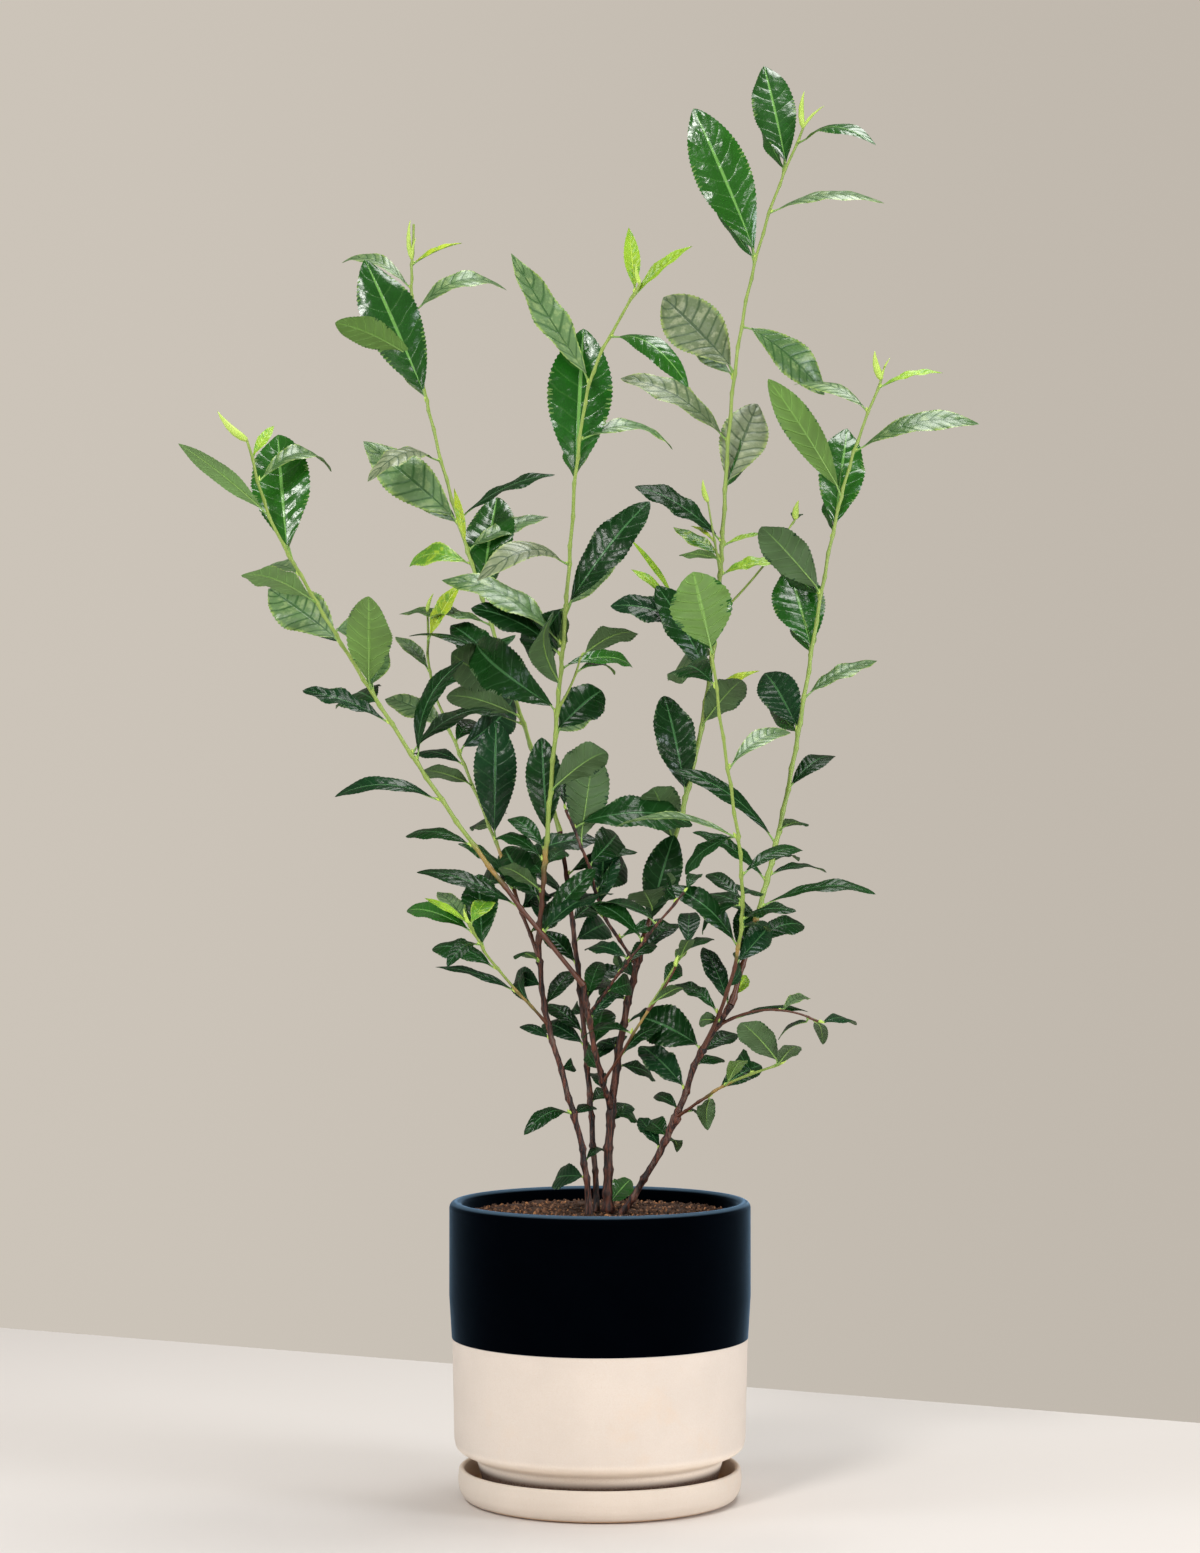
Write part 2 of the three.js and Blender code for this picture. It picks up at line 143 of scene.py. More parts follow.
class Finish(Graph):
    """A new material with its shader, whose patterns are read from places on the piece."""

    def __init__(self, name, roughness, **constants):
        self.material = bpy.data.materials.new(name)
        self.material.use_nodes = True
        super().__init__(self.material.node_tree)
        self.shader = self.tree.nodes["Principled BSDF"]
        self.shader.inputs["Roughness"].default_value = roughness
        for key, value in constants.items():
            self.shader.inputs[key.replace("_", " ")].default_value = value
        self.place = self.add("ShaderNodeTexCoord").outputs["Object"]

    def own_map(self, name):
        split = self.add("ShaderNodeSeparateXYZ", {0: self.add("ShaderNodeUVMap", uv_map=name)})
        return Value(self, split.outputs[0]), Value(self, split.outputs[1])

    def height(self):
        return self.value("ShaderNodeSeparateXYZ", {0: self.place}, 2)

    def cells(self, scale, **settings):
        inputs = {"Vector": self.place, "Scale": scale}
        return self.value("ShaderNodeTexVoronoi", inputs, "Distance", **settings)

    def colour(self, value):
        self.plug(self.shader.inputs["Base Color"], value)

    def rough(self, value):
        self.plug(self.shader.inputs["Roughness"], value)

    def bump(self, height, distance, strength, after=None):
        inputs = {"Height": height, "Distance": distance, "Strength": strength}
        if after is not None:
            inputs["Normal"] = after
        normal = self.add("ShaderNodeBump", inputs)
        self.plug(self.shader.inputs["Normal"], normal)
        return normal


def shaded(colour, share):
    return [share * c for c in colour]


# ---------------- camera, floor and light

CAMERA_PLACE = (0.0, -2.062, 0.3966)
CAMERA_TILT = 90.99  # degrees from straight down
LENS = 79.5

FLOOR_COLOUR = (0.75, 0.70, 0.665)
FLOOR_BACK = [(-2.6, 1.78), (3.2, -1.15)]  # the floor ends along the slanting line between these places
FLOOR_NEAR = -4.0
ROOM_COLOURS = [(0.604, 0.552, 0.485), (0.527, 0.479, 0.418)]  # the wall's, to the left and to the right
ROOM_LIGHT = 0.3  # how strongly the room lights the bush, beside how bright it looks
LIT_PLACE = (0, 0, 0.42)  # what each lamp is turned to
LAMPS = {  # the place, size, power and colour of each
    "key": ((-1.0, -1.9, 1.9), 0.6, 34, (1.0, 0.985, 0.96)),
    "front": ((0.8, -2.05, 0.12), 0.6, 14, (1.0, 0.99, 0.97)),
    "left": ((-2.1, -0.6, 0.7), 0.9, 18, (0.82, 0.92, 1.0)),
    "right": ((1.95, -1.05, 0.75), 0.9, 28, (0.88, 0.94, 1.0)),
    "top": ((0.4, 0.3, 2.6), 1.4, 44, (1.0, 1.0, 0.98)),
}


def look_from_the_front():
    data = bpy.data.cameras.new("camera")
    data.lens = LENS
    camera = link("camera", data, CAMERA_PLACE)
    camera.rotation_euler = (math.radians(CAMERA_TILT), 0, 0)
    bpy.context.scene.camera = camera


def hang_lamp(name, place, size, power, colour):
    data = bpy.data.lights.new(name, "AREA")
    data.shape = "DISK"
    data.size, data.energy, data.color = size, power, colour
    aim = Vector(LIT_PLACE) - Vector(place)
    link(name, data, place).rotation_euler = aim.to_track_quat("-Z", "Y").to_euler()


def light_the_room():
    world = bpy.data.worlds.new("room")
    world.use_nodes = True
    graph = Graph(world.node_tree)
    seen = graph.value("ShaderNodeLightPath", output="Is Camera Ray")
    across = graph.value("ShaderNodeSeparateXYZ", {0: graph.value("ShaderNodeTexCoord", output="Generated")})
    background = world.node_tree.nodes["Background"]
    graph.plug(background.inputs["Color"], across.remap(-0.2, 0.2).blend(*ROOM_COLOURS))
    graph.plug(background.inputs["Strength"], seen.remap(0.0, 1.0, ROOM_LIGHT, 1.0))
    bpy.context.scene.world = world
    bpy.context.scene.view_settings.view_transform = "Standard"
    for name, lamp in LAMPS.items():
        hang_lamp(name, *lamp)


def lay_the_floor():
    finish = Finish("floor", 0.7)
    finish.colour(finish.noise(3.0, 3.0).blend(shaded(FLOOR_COLOUR, 0.985), FLOOR_COLOUR))
    (x0, y0), (x1, y1) = FLOOR_BACK
    mesh = bpy.data.meshes.new("floor")
    mesh.from_pydata([(x0, FLOOR_NEAR, 0), (x1, FLOOR_NEAR, 0), (x1, y1, 0), (x0, y0, 0)], [], [(0, 1, 2, 3)])
    mesh.materials.append(finish.material)
    link("floor", mesh)


# ---------------- leaf finishes

VEINS = 8.5  # pairs of side veins on a leaf
VEIN_SLANT = 1.15  # how far, in veins, each climbs from midrib to margin
VEIN_BEND = 1.3  # and how much it bends upwards on the way
YELLOWED = (0.46, 0.62, 0.09)  # the colour of a pale leaf's edge


def leaf_finish(name, base, vein, roughness, upper=True, patches_and_sheen=None, patch_and_sheen_amount=0.0, coat=0.0, veined=0.2,
                edge=0.0, shine=0.5, vein_from=0.40):
    """A blade with veins of another colour, quilted between them, and patches of a third, which on the
    mottled and grey kinds are painted reflection.
    """
    finish = Finish(name, roughness, Specular_IOR_Level=shine, Coat_Weight=coat, Coat_Roughness=0.14)
    across, along = finish.own_map("leaf")
    out = abs(across * 2.0 - 1.0)
    stray = (finish.noise(75.0, 1.0) - 0.5) * 0.4
    phase = along * VEINS - out**VEIN_BEND * VEIN_SLANT + stray
    wave = abs(finish.math("FRACT", phase) - 0.5)
    puff = 1.0 - wave * 2.0
    side_vein = wave.remap(vein_from, 0.5)
    midrib = out.remap(0.075, 0.035)
    cloud = finish.noise(38.0, 3.0)
    tone = cloud.remap(0.35, 0.68).blend(shaded(base, 0.78), base)
    # patches between the veins: leaf colour on the fresh and lime kinds, painted reflection of the pale room
    # on the mottled and grey kinds
    if patches_and_sheen:
        spots = finish.noise(165.0, 4.0, 0.62).remap(0.50, 0.62) * patch_and_sheen_amount
        tone = (spots * puff.remap(0.0, 0.5)).blend(tone, patches_and_sheen)
        scorched = finish.noise(130.0, 3.0, 0.7).remap(0.67, 0.72)
        tone = (scorched * 0.7).blend(tone, shaded(base, 0.35))
    if edge:
        tone = (out.remap(0.80, 1.0) * edge).blend(tone, YELLOWED)
    # painted shade: the underside darkens in the hollows between its veins
    if not upper:
        tone = (puff * 0.5).blend(tone, shaded(base, 0.62))
    finish.colour(finish.math("MAXIMUM", side_vein * veined, midrib * 0.8).blend(tone, vein))
    finish.rough(cloud.remap(0.2, 0.8, roughness * 0.85, roughness * 1.2))
    network = finish.cells(620.0, feature="DISTANCE_TO_EDGE")
    if upper:
        pucker = finish.noise(210.0, 2.0, 0.45)
        quilt = finish.bump(puff**0.5 + pucker * 2.2 - midrib * 0.8, 0.34 * MM, 0.85)
        finish.bump(network, 0.10 * MM, 0.3, after=quilt)
    else:
        finish.bump(network, 0.05 * MM, 0.3, after=finish.bump(side_vein, 0.55 * MM, 0.85))
    return finish.material


# By kind of leaf: the shades of the upper side, how it looks, the underside's colour, and the blade's shape,
# which is how far towards its tip it is widest and how pointed it is.
LEAF_KINDS = {
    "glossy": dict(
        shades=[(0.009, 0.095, 0.005), (0.011, 0.078, 0.007), (0.017, 0.118, 0.007)],
        look=dict(vein=(0.18, 0.42, 0.09), roughness=0.24, coat=0.22, veined=0.08),
        under=(0.135, 0.270, 0.046), shape=(1.14, 0.74),
    ),
    "mottled": dict(
        shades=[(0.085, 0.185, 0.050), (0.130, 0.235, 0.085)],
        # the pale patches are painted reflection of the pale room
        look=dict(vein=(0.022, 0.090, 0.014), roughness=0.38, coat=0.15, patches_and_sheen=(0.28, 0.38, 0.15),
                  patch_and_sheen_amount=0.5, veined=0.8, edge=0.4, vein_from=0.30),
        under=(0.15, 0.29, 0.075), shape=(1.04, 0.86),
    ),
    "grey": dict(
        shades=[(0.185, 0.230, 0.120), (0.120, 0.170, 0.072)],
        # the pale patches are painted reflection of the pale room
        look=dict(vein=(0.022, 0.062, 0.014), roughness=0.42, coat=0.1, patches_and_sheen=(0.33, 0.36, 0.21),
                  patch_and_sheen_amount=0.5, veined=0.8, edge=0.35, vein_from=0.32),
        under=(0.13, 0.24, 0.08), shape=(1.14, 0.76),
    ),
    "fresh": dict(
        shades=[(0.07, 0.25, 0.02), (0.12, 0.32, 0.02)],
        look=dict(vein=(0.30, 0.52, 0.05), roughness=0.36, coat=0.15, patches_and_sheen=(0.44, 0.60, 0.04),
                  patch_and_sheen_amount=0.6, edge=0.9),
        under=(0.24, 0.42, 0.05), shape=(1.04, 0.86),
    ),
    "deep": dict(
        shades=[(0.005, 0.034, 0.006), (0.008, 0.050, 0.008), (0.008, 0.042, 0.013)],
        look=dict(vein=(0.06, 0.18, 0.06), roughness=0.27, shine=0.24),
        under=(0.072, 0.145, 0.045), shape=(1.22, 0.68),
    ),
    "lime": dict(
        shades=[(0.43, 0.57, 0.020), (0.29, 0.50, 0.018)],
        look=dict(vein=(0.60, 0.80, 0.10), roughness=0.42, coat=0.1, patches_and_sheen=(0.10, 0.30, 0.02),
                  patch_and_sheen_amount=0.7),
        under=(0.48, 0.68, 0.06), shape=(0.95, 0.95),
    ),
}
YOUNG_KINDS = ("lime", "fresh")


def clouded_finish(name, roughness, scale, dark, light, grain, depth, strength):
    """Cloudy between two colours, with a fine grain."""
    finish = Finish(name, roughness)
    finish.colour(finish.noise(scale).blend(dark, light))
    finish.bump(finish.noise(grain), depth, strength)
    return finish.material


def leaf_finishes():
    """The stalk's finish and the bud's, and each kind of leaf's: one for each shade of its upper side and one
    for its underside."""
    finishes = {
        "leaf_stalk": clouded_finish("leaf_stalk", 0.45, 90.0, (0.14, 0.29, 0.05), (0.25, 0.40, 0.10),
                                     1600.0, 0.05 * MM, 0.4),
        "bud": clouded_finish("bud", 0.5, 160.0, (0.36, 0.56, 0.05), (0.55, 0.66, 0.16),
                              2200.0, 0.06 * MM, 0.5),
    }
    for kind, leaf in LEAF_KINDS.items():
        for i, shade in enumerate(leaf["shades"]):
            name = f"{kind}_upper_{i}"
            finishes[name] = leaf_finish(name, shade, **leaf["look"])
        name, under = f"{kind}_under", leaf["under"]
        vein = [min(1.0, 1.5 * c) for c in under]
        finishes[name] = leaf_finish(name, under, vein, 0.6, upper=False, veined=0.6)
    return finishes


# ---------------- bark, pot and soil finishes


def bark_finish():
    """Dark reddish-brown bark, furrowed lengthwise, with paler grey flakes."""
    finish = Finish("brown_bark", 0.52, Specular_IOR_Level=0.4)
    drawn = finish.stretch(finish.place, (1.0, 1.0, 0.14))
    furrow = finish.noise(620.0, 5.0, 0.65, place=drawn)
    cloud = finish.noise(55.0, 3.0).remap(0.4, 0.65)
    flakes = finish.noise(300.0, 3.0, 0.7, place=drawn).remap(0.55, 0.68)
    tone = furrow.remap(0.43, 0.62).blend((0.004, 0.0012, 0.0009), (0.130, 0.036, 0.018))
    tone = (cloud * 0.35).blend(tone, (0.075, 0.028, 0.017))
    finish.colour((flakes * 0.45).blend(tone, (0.22, 0.15, 0.115)))
    finish.bump(furrow, 0.9 * MM, 0.9)
    return finish.material


def green_bark_finish(name, brown_below, green_above):
    """Smooth young bark, yellow-green above and turning orange-brown towards the older wood."""
    finish = Finish(name, 0.45)
    drift = (finish.noise(60.0, 3.0) - 0.5) * (green_above - brown_below)
    between = (finish.height() + drift).remap(brown_below, green_above)
    streak = finish.noise(520.0, 3.0, place=finish.stretch(finish.place, (1.0, 1.0, 0.12)))
    green = streak.blend((0.15, 0.25, 0.032), (0.33, 0.42, 0.09))
    brown = streak.blend((0.035, 0.010, 0.006), (0.15, 0.045, 0.018))
    amber = between.remap(0.25, 0.5) * between.remap(0.85, 0.55) * 0.6
    finish.colour(amber.blend(between.blend(brown, green), (0.42, 0.20, 0.06)))
    finish.bump(streak, 0.16 * MM, 0.6)
    return finish.material


DISH_BROWN = (0.50, 0.30, 0.16)
# painted light: the pale clay of the foot, which the shoulder above it shades
LIT_FOOT_CLAY = (0.98, 0.85, 0.72)
SHADED_CLAY = (0.045, 0.011, 0.002)  # where the foot meets the saucer


def clay_finish(name, colour, browned_dish=None, foot_light_and_shade=None):
    """Unglazed fired clay: fine grain, faint clouds and the odd darker fleck. Painted light pales the clay
    just above the first of two foot heights, and painted shade darkens it from there down to the second. The
    clay can be browner within a radius and below a height."""
    finish = Finish(name, 0.82)
    cloud = finish.noise(22.0, 4.0, 0.6).remap(0.3, 0.7)
    stain = finish.noise(14.0, 5.0, 0.7).remap(0.56, 0.72)
    fleck = finish.cells(210.0).remap(0.09, 0.03)
    grain = finish.noise(1150.0, 4.0, 0.75)
    tone = cloud.blend(shaded(colour, 0.94), colour)
    tone = (stain * 0.28).blend(tone, (0.74, 0.53, 0.36))
    # painted light just above the foot's top, then painted shade down to where the foot meets the saucer
    if foot_light_and_shade:
        shoulder, dish = foot_light_and_shade
        height = finish.height()
        tone = height.remap(shoulder + 11 * MM, shoulder + 3 * MM).blend(tone, LIT_FOOT_CLAY)
        tone = (height.remap(shoulder, dish) ** 1.8).blend(tone, SHADED_CLAY)
    # browner inside the dish, within a radius and below the rim
    if browned_dish:
        radius, top = browned_dish
        flat = finish.stretch(finish.place, (1.0, 1.0, 0.0))
        out = finish.value("ShaderNodeVectorMath", {0: flat}, "Value", operation="LENGTH")
        within = out.remap(radius, radius - 3 * MM) * finish.height().remap(top, top - 5 * MM)
        tone = within.blend(tone, DISH_BROWN)
    tone = (fleck * 0.28).blend(tone, (0.50, 0.36, 0.26))
    finish.colour((grain.remap(0.3, 0.75) * 0.3).blend(tone, (0.60, 0.46, 0.35)))
    rings = finish.noise(60.0, place=finish.stretch(finish.place, (0.4, 0.4, 6.0)))
    finish.bump(grain, 0.10 * MM, 0.55, after=finish.bump(rings, 0.25 * MM, 0.25))
    return finish.material


def glaze_finish(lip):
    """Satin black glaze, faintly uneven and finely pinholed, with a painted pale navy highlight along the top
    of the lip.
    """
    finish = Finish("black_glaze", 0.3, Specular_IOR_Level=0.0, Sheen_Weight=0.55, Sheen_Roughness=0.27,
                    Sheen_Tint=(0.42, 0.68, 1.0, 1.0))
    cloud = finish.noise(45.0, 3.0)
    black = cloud.blend((0.0002, 0.0004, 0.0009), (0.0005, 0.0009, 0.0018))
    # painted highlight: the colour turns pale navy over the top of the lip
    lip_highlight = finish.height().remap(lip - 1.6 * MM, lip - 0.2 * MM)
    finish.colour(lip_highlight.blend(black, (0.060, 0.100, 0.145)))
    finish.rough(cloud.remap(0.2, 0.8, 0.2, 0.28))
    swell = finish.bump(finish.noise(70.0), 0.5 * MM, 0.22)
    finish.bump(finish.noise(1900.0), 0.04 * MM, 0.35, after=swell)
    return finish.material


def soil_finish(name, dark, light):
    finish = Finish(name, 0.92)
    crumbs = finish.noise(420.0, 5.0, 0.65)
    finish.colour(crumbs.remap(0.3, 0.7).blend(dark, light))
    finish.bump(crumbs, 0.7 * MM, 0.8)
    return finish.material


# ---------------- limbs

ROOTED = ("stem_left", "stem_back", "stem_centre", "stem_right")  # the stems that rise from the soil
PARENTS = {  # what each other limb springs from
    "stem_front": "stem_centre", "shoot_centre": "stem_left", "shoot_left_inner": "stem_left",
    "shoot_back": "stem_back", "branch_left": "stem_front", "shoot_tall": "stem_centre",
    "shoot_right": "stem_right", "shoot_right_inner": "stem_right", "branch_centre_up": "stem_centre",
    "twig_left_low": "stem_left", "twig_centre": "stem_front", "twig_low_centre": "stem_front",
    "twig_right_low": "stem_right",
}
RING_GAP = 4 * MM  # rings of a limb's solid lie further apart than this
HEADING_SPAN = 0.02  # the share of a limb over which its heading is taken


def unit(vector):
    return vector / np.linalg.norm(vector)


class Limb:
    """The smooth centre line of a stem, shoot or twig, with its radius, by share of the way up it."""

    def __init__(self, shares, places, radii):
        self.shares = np.array(shares, float)
        self.places = np.array(places, float)
        self.radii = np.array(radii, float)
        self.slopes = np.gradient(self.places, self.shares, axis=0)
        self.length = float(np.linalg.norm(np.diff(self.places, axis=0), axis=1).sum())
        self.nodes = []  # shares where a leaf or twig springs
        self.knots = []  # and where an old one has healed over

    def at(self, share):
        i = int(np.clip(np.searchsorted(self.shares, share) - 1, 0, len(self.shares) - 2))
        gap = self.shares[i + 1] - self.shares[i]
        s = (share - self.shares[i]) / gap
        start = (2 * s**3 - 3 * s**2 + 1) * self.places[i] + (s**3 - 2 * s**2 + s) * gap * self.slopes[i]
        end = (3 * s**2 - 2 * s**3) * self.places[i + 1] + (s**3 - s**2) * gap * self.slopes[i + 1]
        return start + end

    def heading(self, share):
        low = min(max(share - HEADING_SPAN / 2, 0.0), 1.0 - HEADING_SPAN)
        return unit(self.at(low + HEADING_SPAN) - self.at(low))

    def radius(self, share):
        return float(np.interp(share, self.shares, self.radii))

    def nearest(self, place):
        shares = np.linspace(0, 1, 400)
        gaps = [np.linalg.norm(self.at(s) - place) for s in shares]
        return float(shares[int(np.argmin(gaps))])


def read_limb(node, parent=None):
    """A limb of the frame: its solid is a tube of rings, so each cluster of points along it is one ring."""
    points = np.array([v.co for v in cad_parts[node].data.vertices])
    points = np.unique(points.round(6), axis=0)
    low, high = points[points[:, 2].argmin()], points[points[:, 2].argmax()]
    far = (points - low) @ unit(high - low)
    order = far.argsort()
    rings = np.split(points[order], np.flatnonzero(np.diff(far[order]) > RING_GAP) + 1)
    centres = [ring.mean(axis=0) for ring in rings]
    radii = [np.linalg.norm(ring - centre, axis=1).mean() for ring, centre in zip(rings, centres)]
    if parent:
        share = parent.nearest(centres[0])
        centres[0], radii[0] = parent.at(share), radii[1]
        parent.nodes.append(share)
    heights = np.array(centres)[:, 2]
    return Limb((heights - heights[0]) / (heights[-1] - heights[0]), centres, radii)


# Side twigs too slight for solids of their own: the limb, the share of it where each springs, how far its
# tip lies across, up and back from there, and how far it bows upwards, in millimetres.
SIDE_TWIGS = {
    "side_bud_left": ("shoot_tall", 0.44, (-8, 42, -10), -3),
    "side_spray_left": ("shoot_tall", 0.36, (-27, 24, 16), 3),
    "side_spray_right": ("shoot_tall", 0.385, (50, 62, 24), -4),
    "side_spray_centre": ("shoot_centre", 0.37, (14, 30, -12), -3),
    "side_spray_low": ("twig_low_centre", 0.55, (16, 26, -10), -2),
    "side_spray_right_low": ("stem_right", 0.9, (58, 4, -26), 8),
    "side_stub": ("stem_left", 0.78, (-2, 24, -2), 0),
}
SIDE_TWIG_PLACES = 6
SIDE_TWIG_RADII = (0.85, 0.55)  # millimetres, at its foot and its tip
OLD_KNOT = ("stem_right", 0.45)


def side_twig(parent, share, reach, bow):
    foot = parent.at(share)
    parent.nodes.append(share)
    across, rise, back = reach
    shares = np.linspace(0, 1, SIDE_TWIG_PLACES)
    reach = np.array([across, back, rise]) * MM
    places = [foot + s * reach + UP * bow * MM * 4 * s * (1 - s) for s in shares]
    return Limb(shares, places, np.linspace(*SIDE_TWIG_RADII, SIDE_TWIG_PLACES) * MM)


def all_limbs():
    limbs = {name: read_limb(name) for name in ROOTED}
    for name, parent in PARENTS.items():
        limbs[name] = read_limb(name, limbs[parent])
    for name, (parent, share, reach, bow) in SIDE_TWIGS.items():
        limbs[name] = side_twig(limbs[parent], share, reach, bow)
    name, share = OLD_KNOT
    limbs[name].knots.append(share)
    return limbs


# ---------------- Geometry Nodes


class Tree(Graph):
    """A Geometry Nodes tree with named inputs."""

    def __init__(self, name, **inputs):
        super().__init__(bpy.data.node_groups.new(name, "GeometryNodeTree"))
        face = self.tree.interface
        face.new_socket("Geometry", in_out="INPUT", socket_type="NodeSocketGeometry")
        self.identifiers = {}
        for label, kind in inputs.items():
            socket = face.new_socket(label, in_out="INPUT", socket_type=f"NodeSocket{kind}")
            self.identifiers[label] = socket.identifier
        face.new_socket("Geometry", in_out="OUTPUT", socket_type="NodeSocketGeometry")
        self.inputs = self.add("NodeGroupInput").outputs
        self.result = self.add("NodeGroupOutput")

    def end(self, geometry):
        realized = self.add("GeometryNodeRealizeInstances", {"Geometry": geometry})
        inputs = {"Geometry": realized, "Material": self.inputs["Material"]}
        self.plug(self.result.inputs[0], self.add("GeometryNodeSetMaterial", inputs))

    def run(self, start, name, **values):
        """A new plain mesh object made by the tree from another object, which is then removed."""
        modifier = start.modifiers.new("grow", "NODES")
        modifier.node_group = self.tree
        for label, value in values.items():
            modifier[self.identifiers[label]] = value
        graph = bpy.context.evaluated_depsgraph_get()
        mesh = bpy.data.meshes.new_from_object(start.evaluated_get(graph), depsgraph=graph)
        mesh.name = name
        start.modifiers.clear()
        bpy.data.objects.remove(start)
        return link(name, mesh)


def bark_tree():
    """Sweeps a round section along a path by its radius and furrows it lengthwise."""
    tree = Tree("bark_sweep", Sides="Int", Furrow="Float", Grain="Float", Material="Material")
    inputs = {"Resolution": tree.inputs["Sides"], "Radius": 1.0}
    section = tree.add("GeometryNodeCurvePrimitiveCircle", inputs)
    inputs = {"Curve": tree.inputs["Geometry"], "Profile Curve": section, "Fill Caps": True}
    sweep = tree.add("GeometryNodeCurveToMesh", inputs)
    if "Scale" in sweep.inputs:
        tree.plug(sweep.inputs["Scale"], tree.add("GeometryNodeInputRadius"))
    drawn = tree.stretch(tree.add("GeometryNodeInputPosition"), (1.0, 1.0, 0.22))
    furrow = tree.noise(tree.inputs["Grain"], 3.0, 0.6, place=drawn)
    inputs = {0: tree.add("GeometryNodeInputNormal"), "Scale": (furrow - 0.5) * tree.inputs["Furrow"]}
    depth = tree.add("ShaderNodeVectorMath", inputs, operation="SCALE")
    placed = tree.add("GeometryNodeSetPosition", {"Geometry": sweep, "Offset": depth})
    tree.end(tree.add("GeometryNodeSetShadeSmooth", {"Geometry": placed}))
    return tree


def strewing_tree():
    """Strews small uneven grains over a surface, each turned and sized at random."""
    tree = Tree("strew", Density="Float", Seed="Int", Smallest="Vector", Largest="Vector",
                Material="Material")
    seed = tree.inputs["Seed"]
    inputs = {"Mesh": tree.inputs["Geometry"], "Density": tree.inputs["Density"], "Seed": seed}
    spread = tree.add("GeometryNodeDistributePointsOnFaces", inputs)
    grain = tree.add("GeometryNodeMeshIcoSphere", {"Radius": 1.0, "Subdivisions": 1})
    inputs = {"Min": tree.inputs["Smallest"], "Max": tree.inputs["Largest"], "Seed": seed}
    size = tree.add("FunctionNodeRandomValue", inputs, data_type="FLOAT_VECTOR")
    turn = tree.add("FunctionNodeRandomValue", {"Max": (math.tau,) * 3}, data_type="FLOAT_VECTOR")
    inputs = {"Points": spread, "Instance": grain, "Rotation": turn, "Scale": size}
    tree.end(tree.add("GeometryNodeInstanceOnPoints", inputs))
    return tree


# ---------------- bark pieces

# How much a limb swells, as a share of its radius, and over what length.
COLLAR = (0.45, 7 * MM)  # where it springs from another
KNUCKLE = (0.34, 1.6 * MM)  # where a leaf springs
KNOT = (0.6, 3.2 * MM)  # at an old knot
MOST_SWOLLEN = 0.8
TRACE = 2.2 * MM  # between the points of a limb's drawn path
ZIGZAG = 0.35 * MM  # how far a shoot leans out to each leaf in turn


def bark_radius(limb, share, springs):
    """The radius with a collar at the foot, a knuckle at each leaf and a swelling at each old knot."""
    swellings = [(0.0, *COLLAR)] if springs else []
    swellings += [(node, *KNUCKLE) for node in limb.nodes] + [(knot, *KNOT) for knot in limb.knots]
    swell = 0.0
    for place, size, length in swellings:
        swell += size * math.exp(-(((share - place) * limb.length / length) ** 2))
    return limb.radius(share) * (1 + min(swell, MOST_SWOLLEN))


def path_of(name, limb, springs):
    curve = bpy.data.curves.new(name, "CURVE")
    curve.dimensions = "3D"
    spline = curve.splines.new("POLY")
    steps = max(6, round(limb.length / TRACE))
    spline.points.add(steps)
    bends = [0.0, *sorted(limb.nodes), 1.0]
    leans = [0.0, *[ZIGZAG * (-1) ** i for i in range(len(limb.nodes))], 0.0]
    for i, point in enumerate(spline.points):
        share = i / steps
        lean = float(np.interp(share, bends, leans))
        point.co = (*(limb.at(share) + np.array([lean, 0.5 * lean, 0.0])), 1.0)
        point.radius = bark_radius(limb, share, springs)
    return link(name, curve)


# ---------------- leaf meshes

ACROSS = np.array([-1.0, -0.78, -0.52, -0.26, 0.0, 0.26, 0.52, 0.78, 1.0])  # stations from margin to margin
MIDDLE = len(ACROSS) // 2
TOOTH = 2.7 * MM  # between the teeth of the margin
TOOTH_DEPTH = 0.042  # of the half width
NOTCH_DEPTH = 0.3  # of the tooth's
QUILT = 0.62 * MM  # how far a blade stands up between its veins
QUILTED_WIDTH = 26 * MM  # narrower blades are quilted less
CUPPED = 0.34  # how far a margin turns down, as a share of the half width
UNTWISTED = 0.2  # the share of its length where a twisted blade faces as the leaf does
BLADE_THICKNESS = 0.30 * MM
MIDRIB = [0.62 * MM, 0.13 * MM]  # radius of the stalk, and of the midrib near the tip
MIDRIB_END = 0.86  # of the way to the tip
CELL_SHAPE = 2.6  # height over width of a leaf's place in the baking map
CELL_MARGIN = 0.04


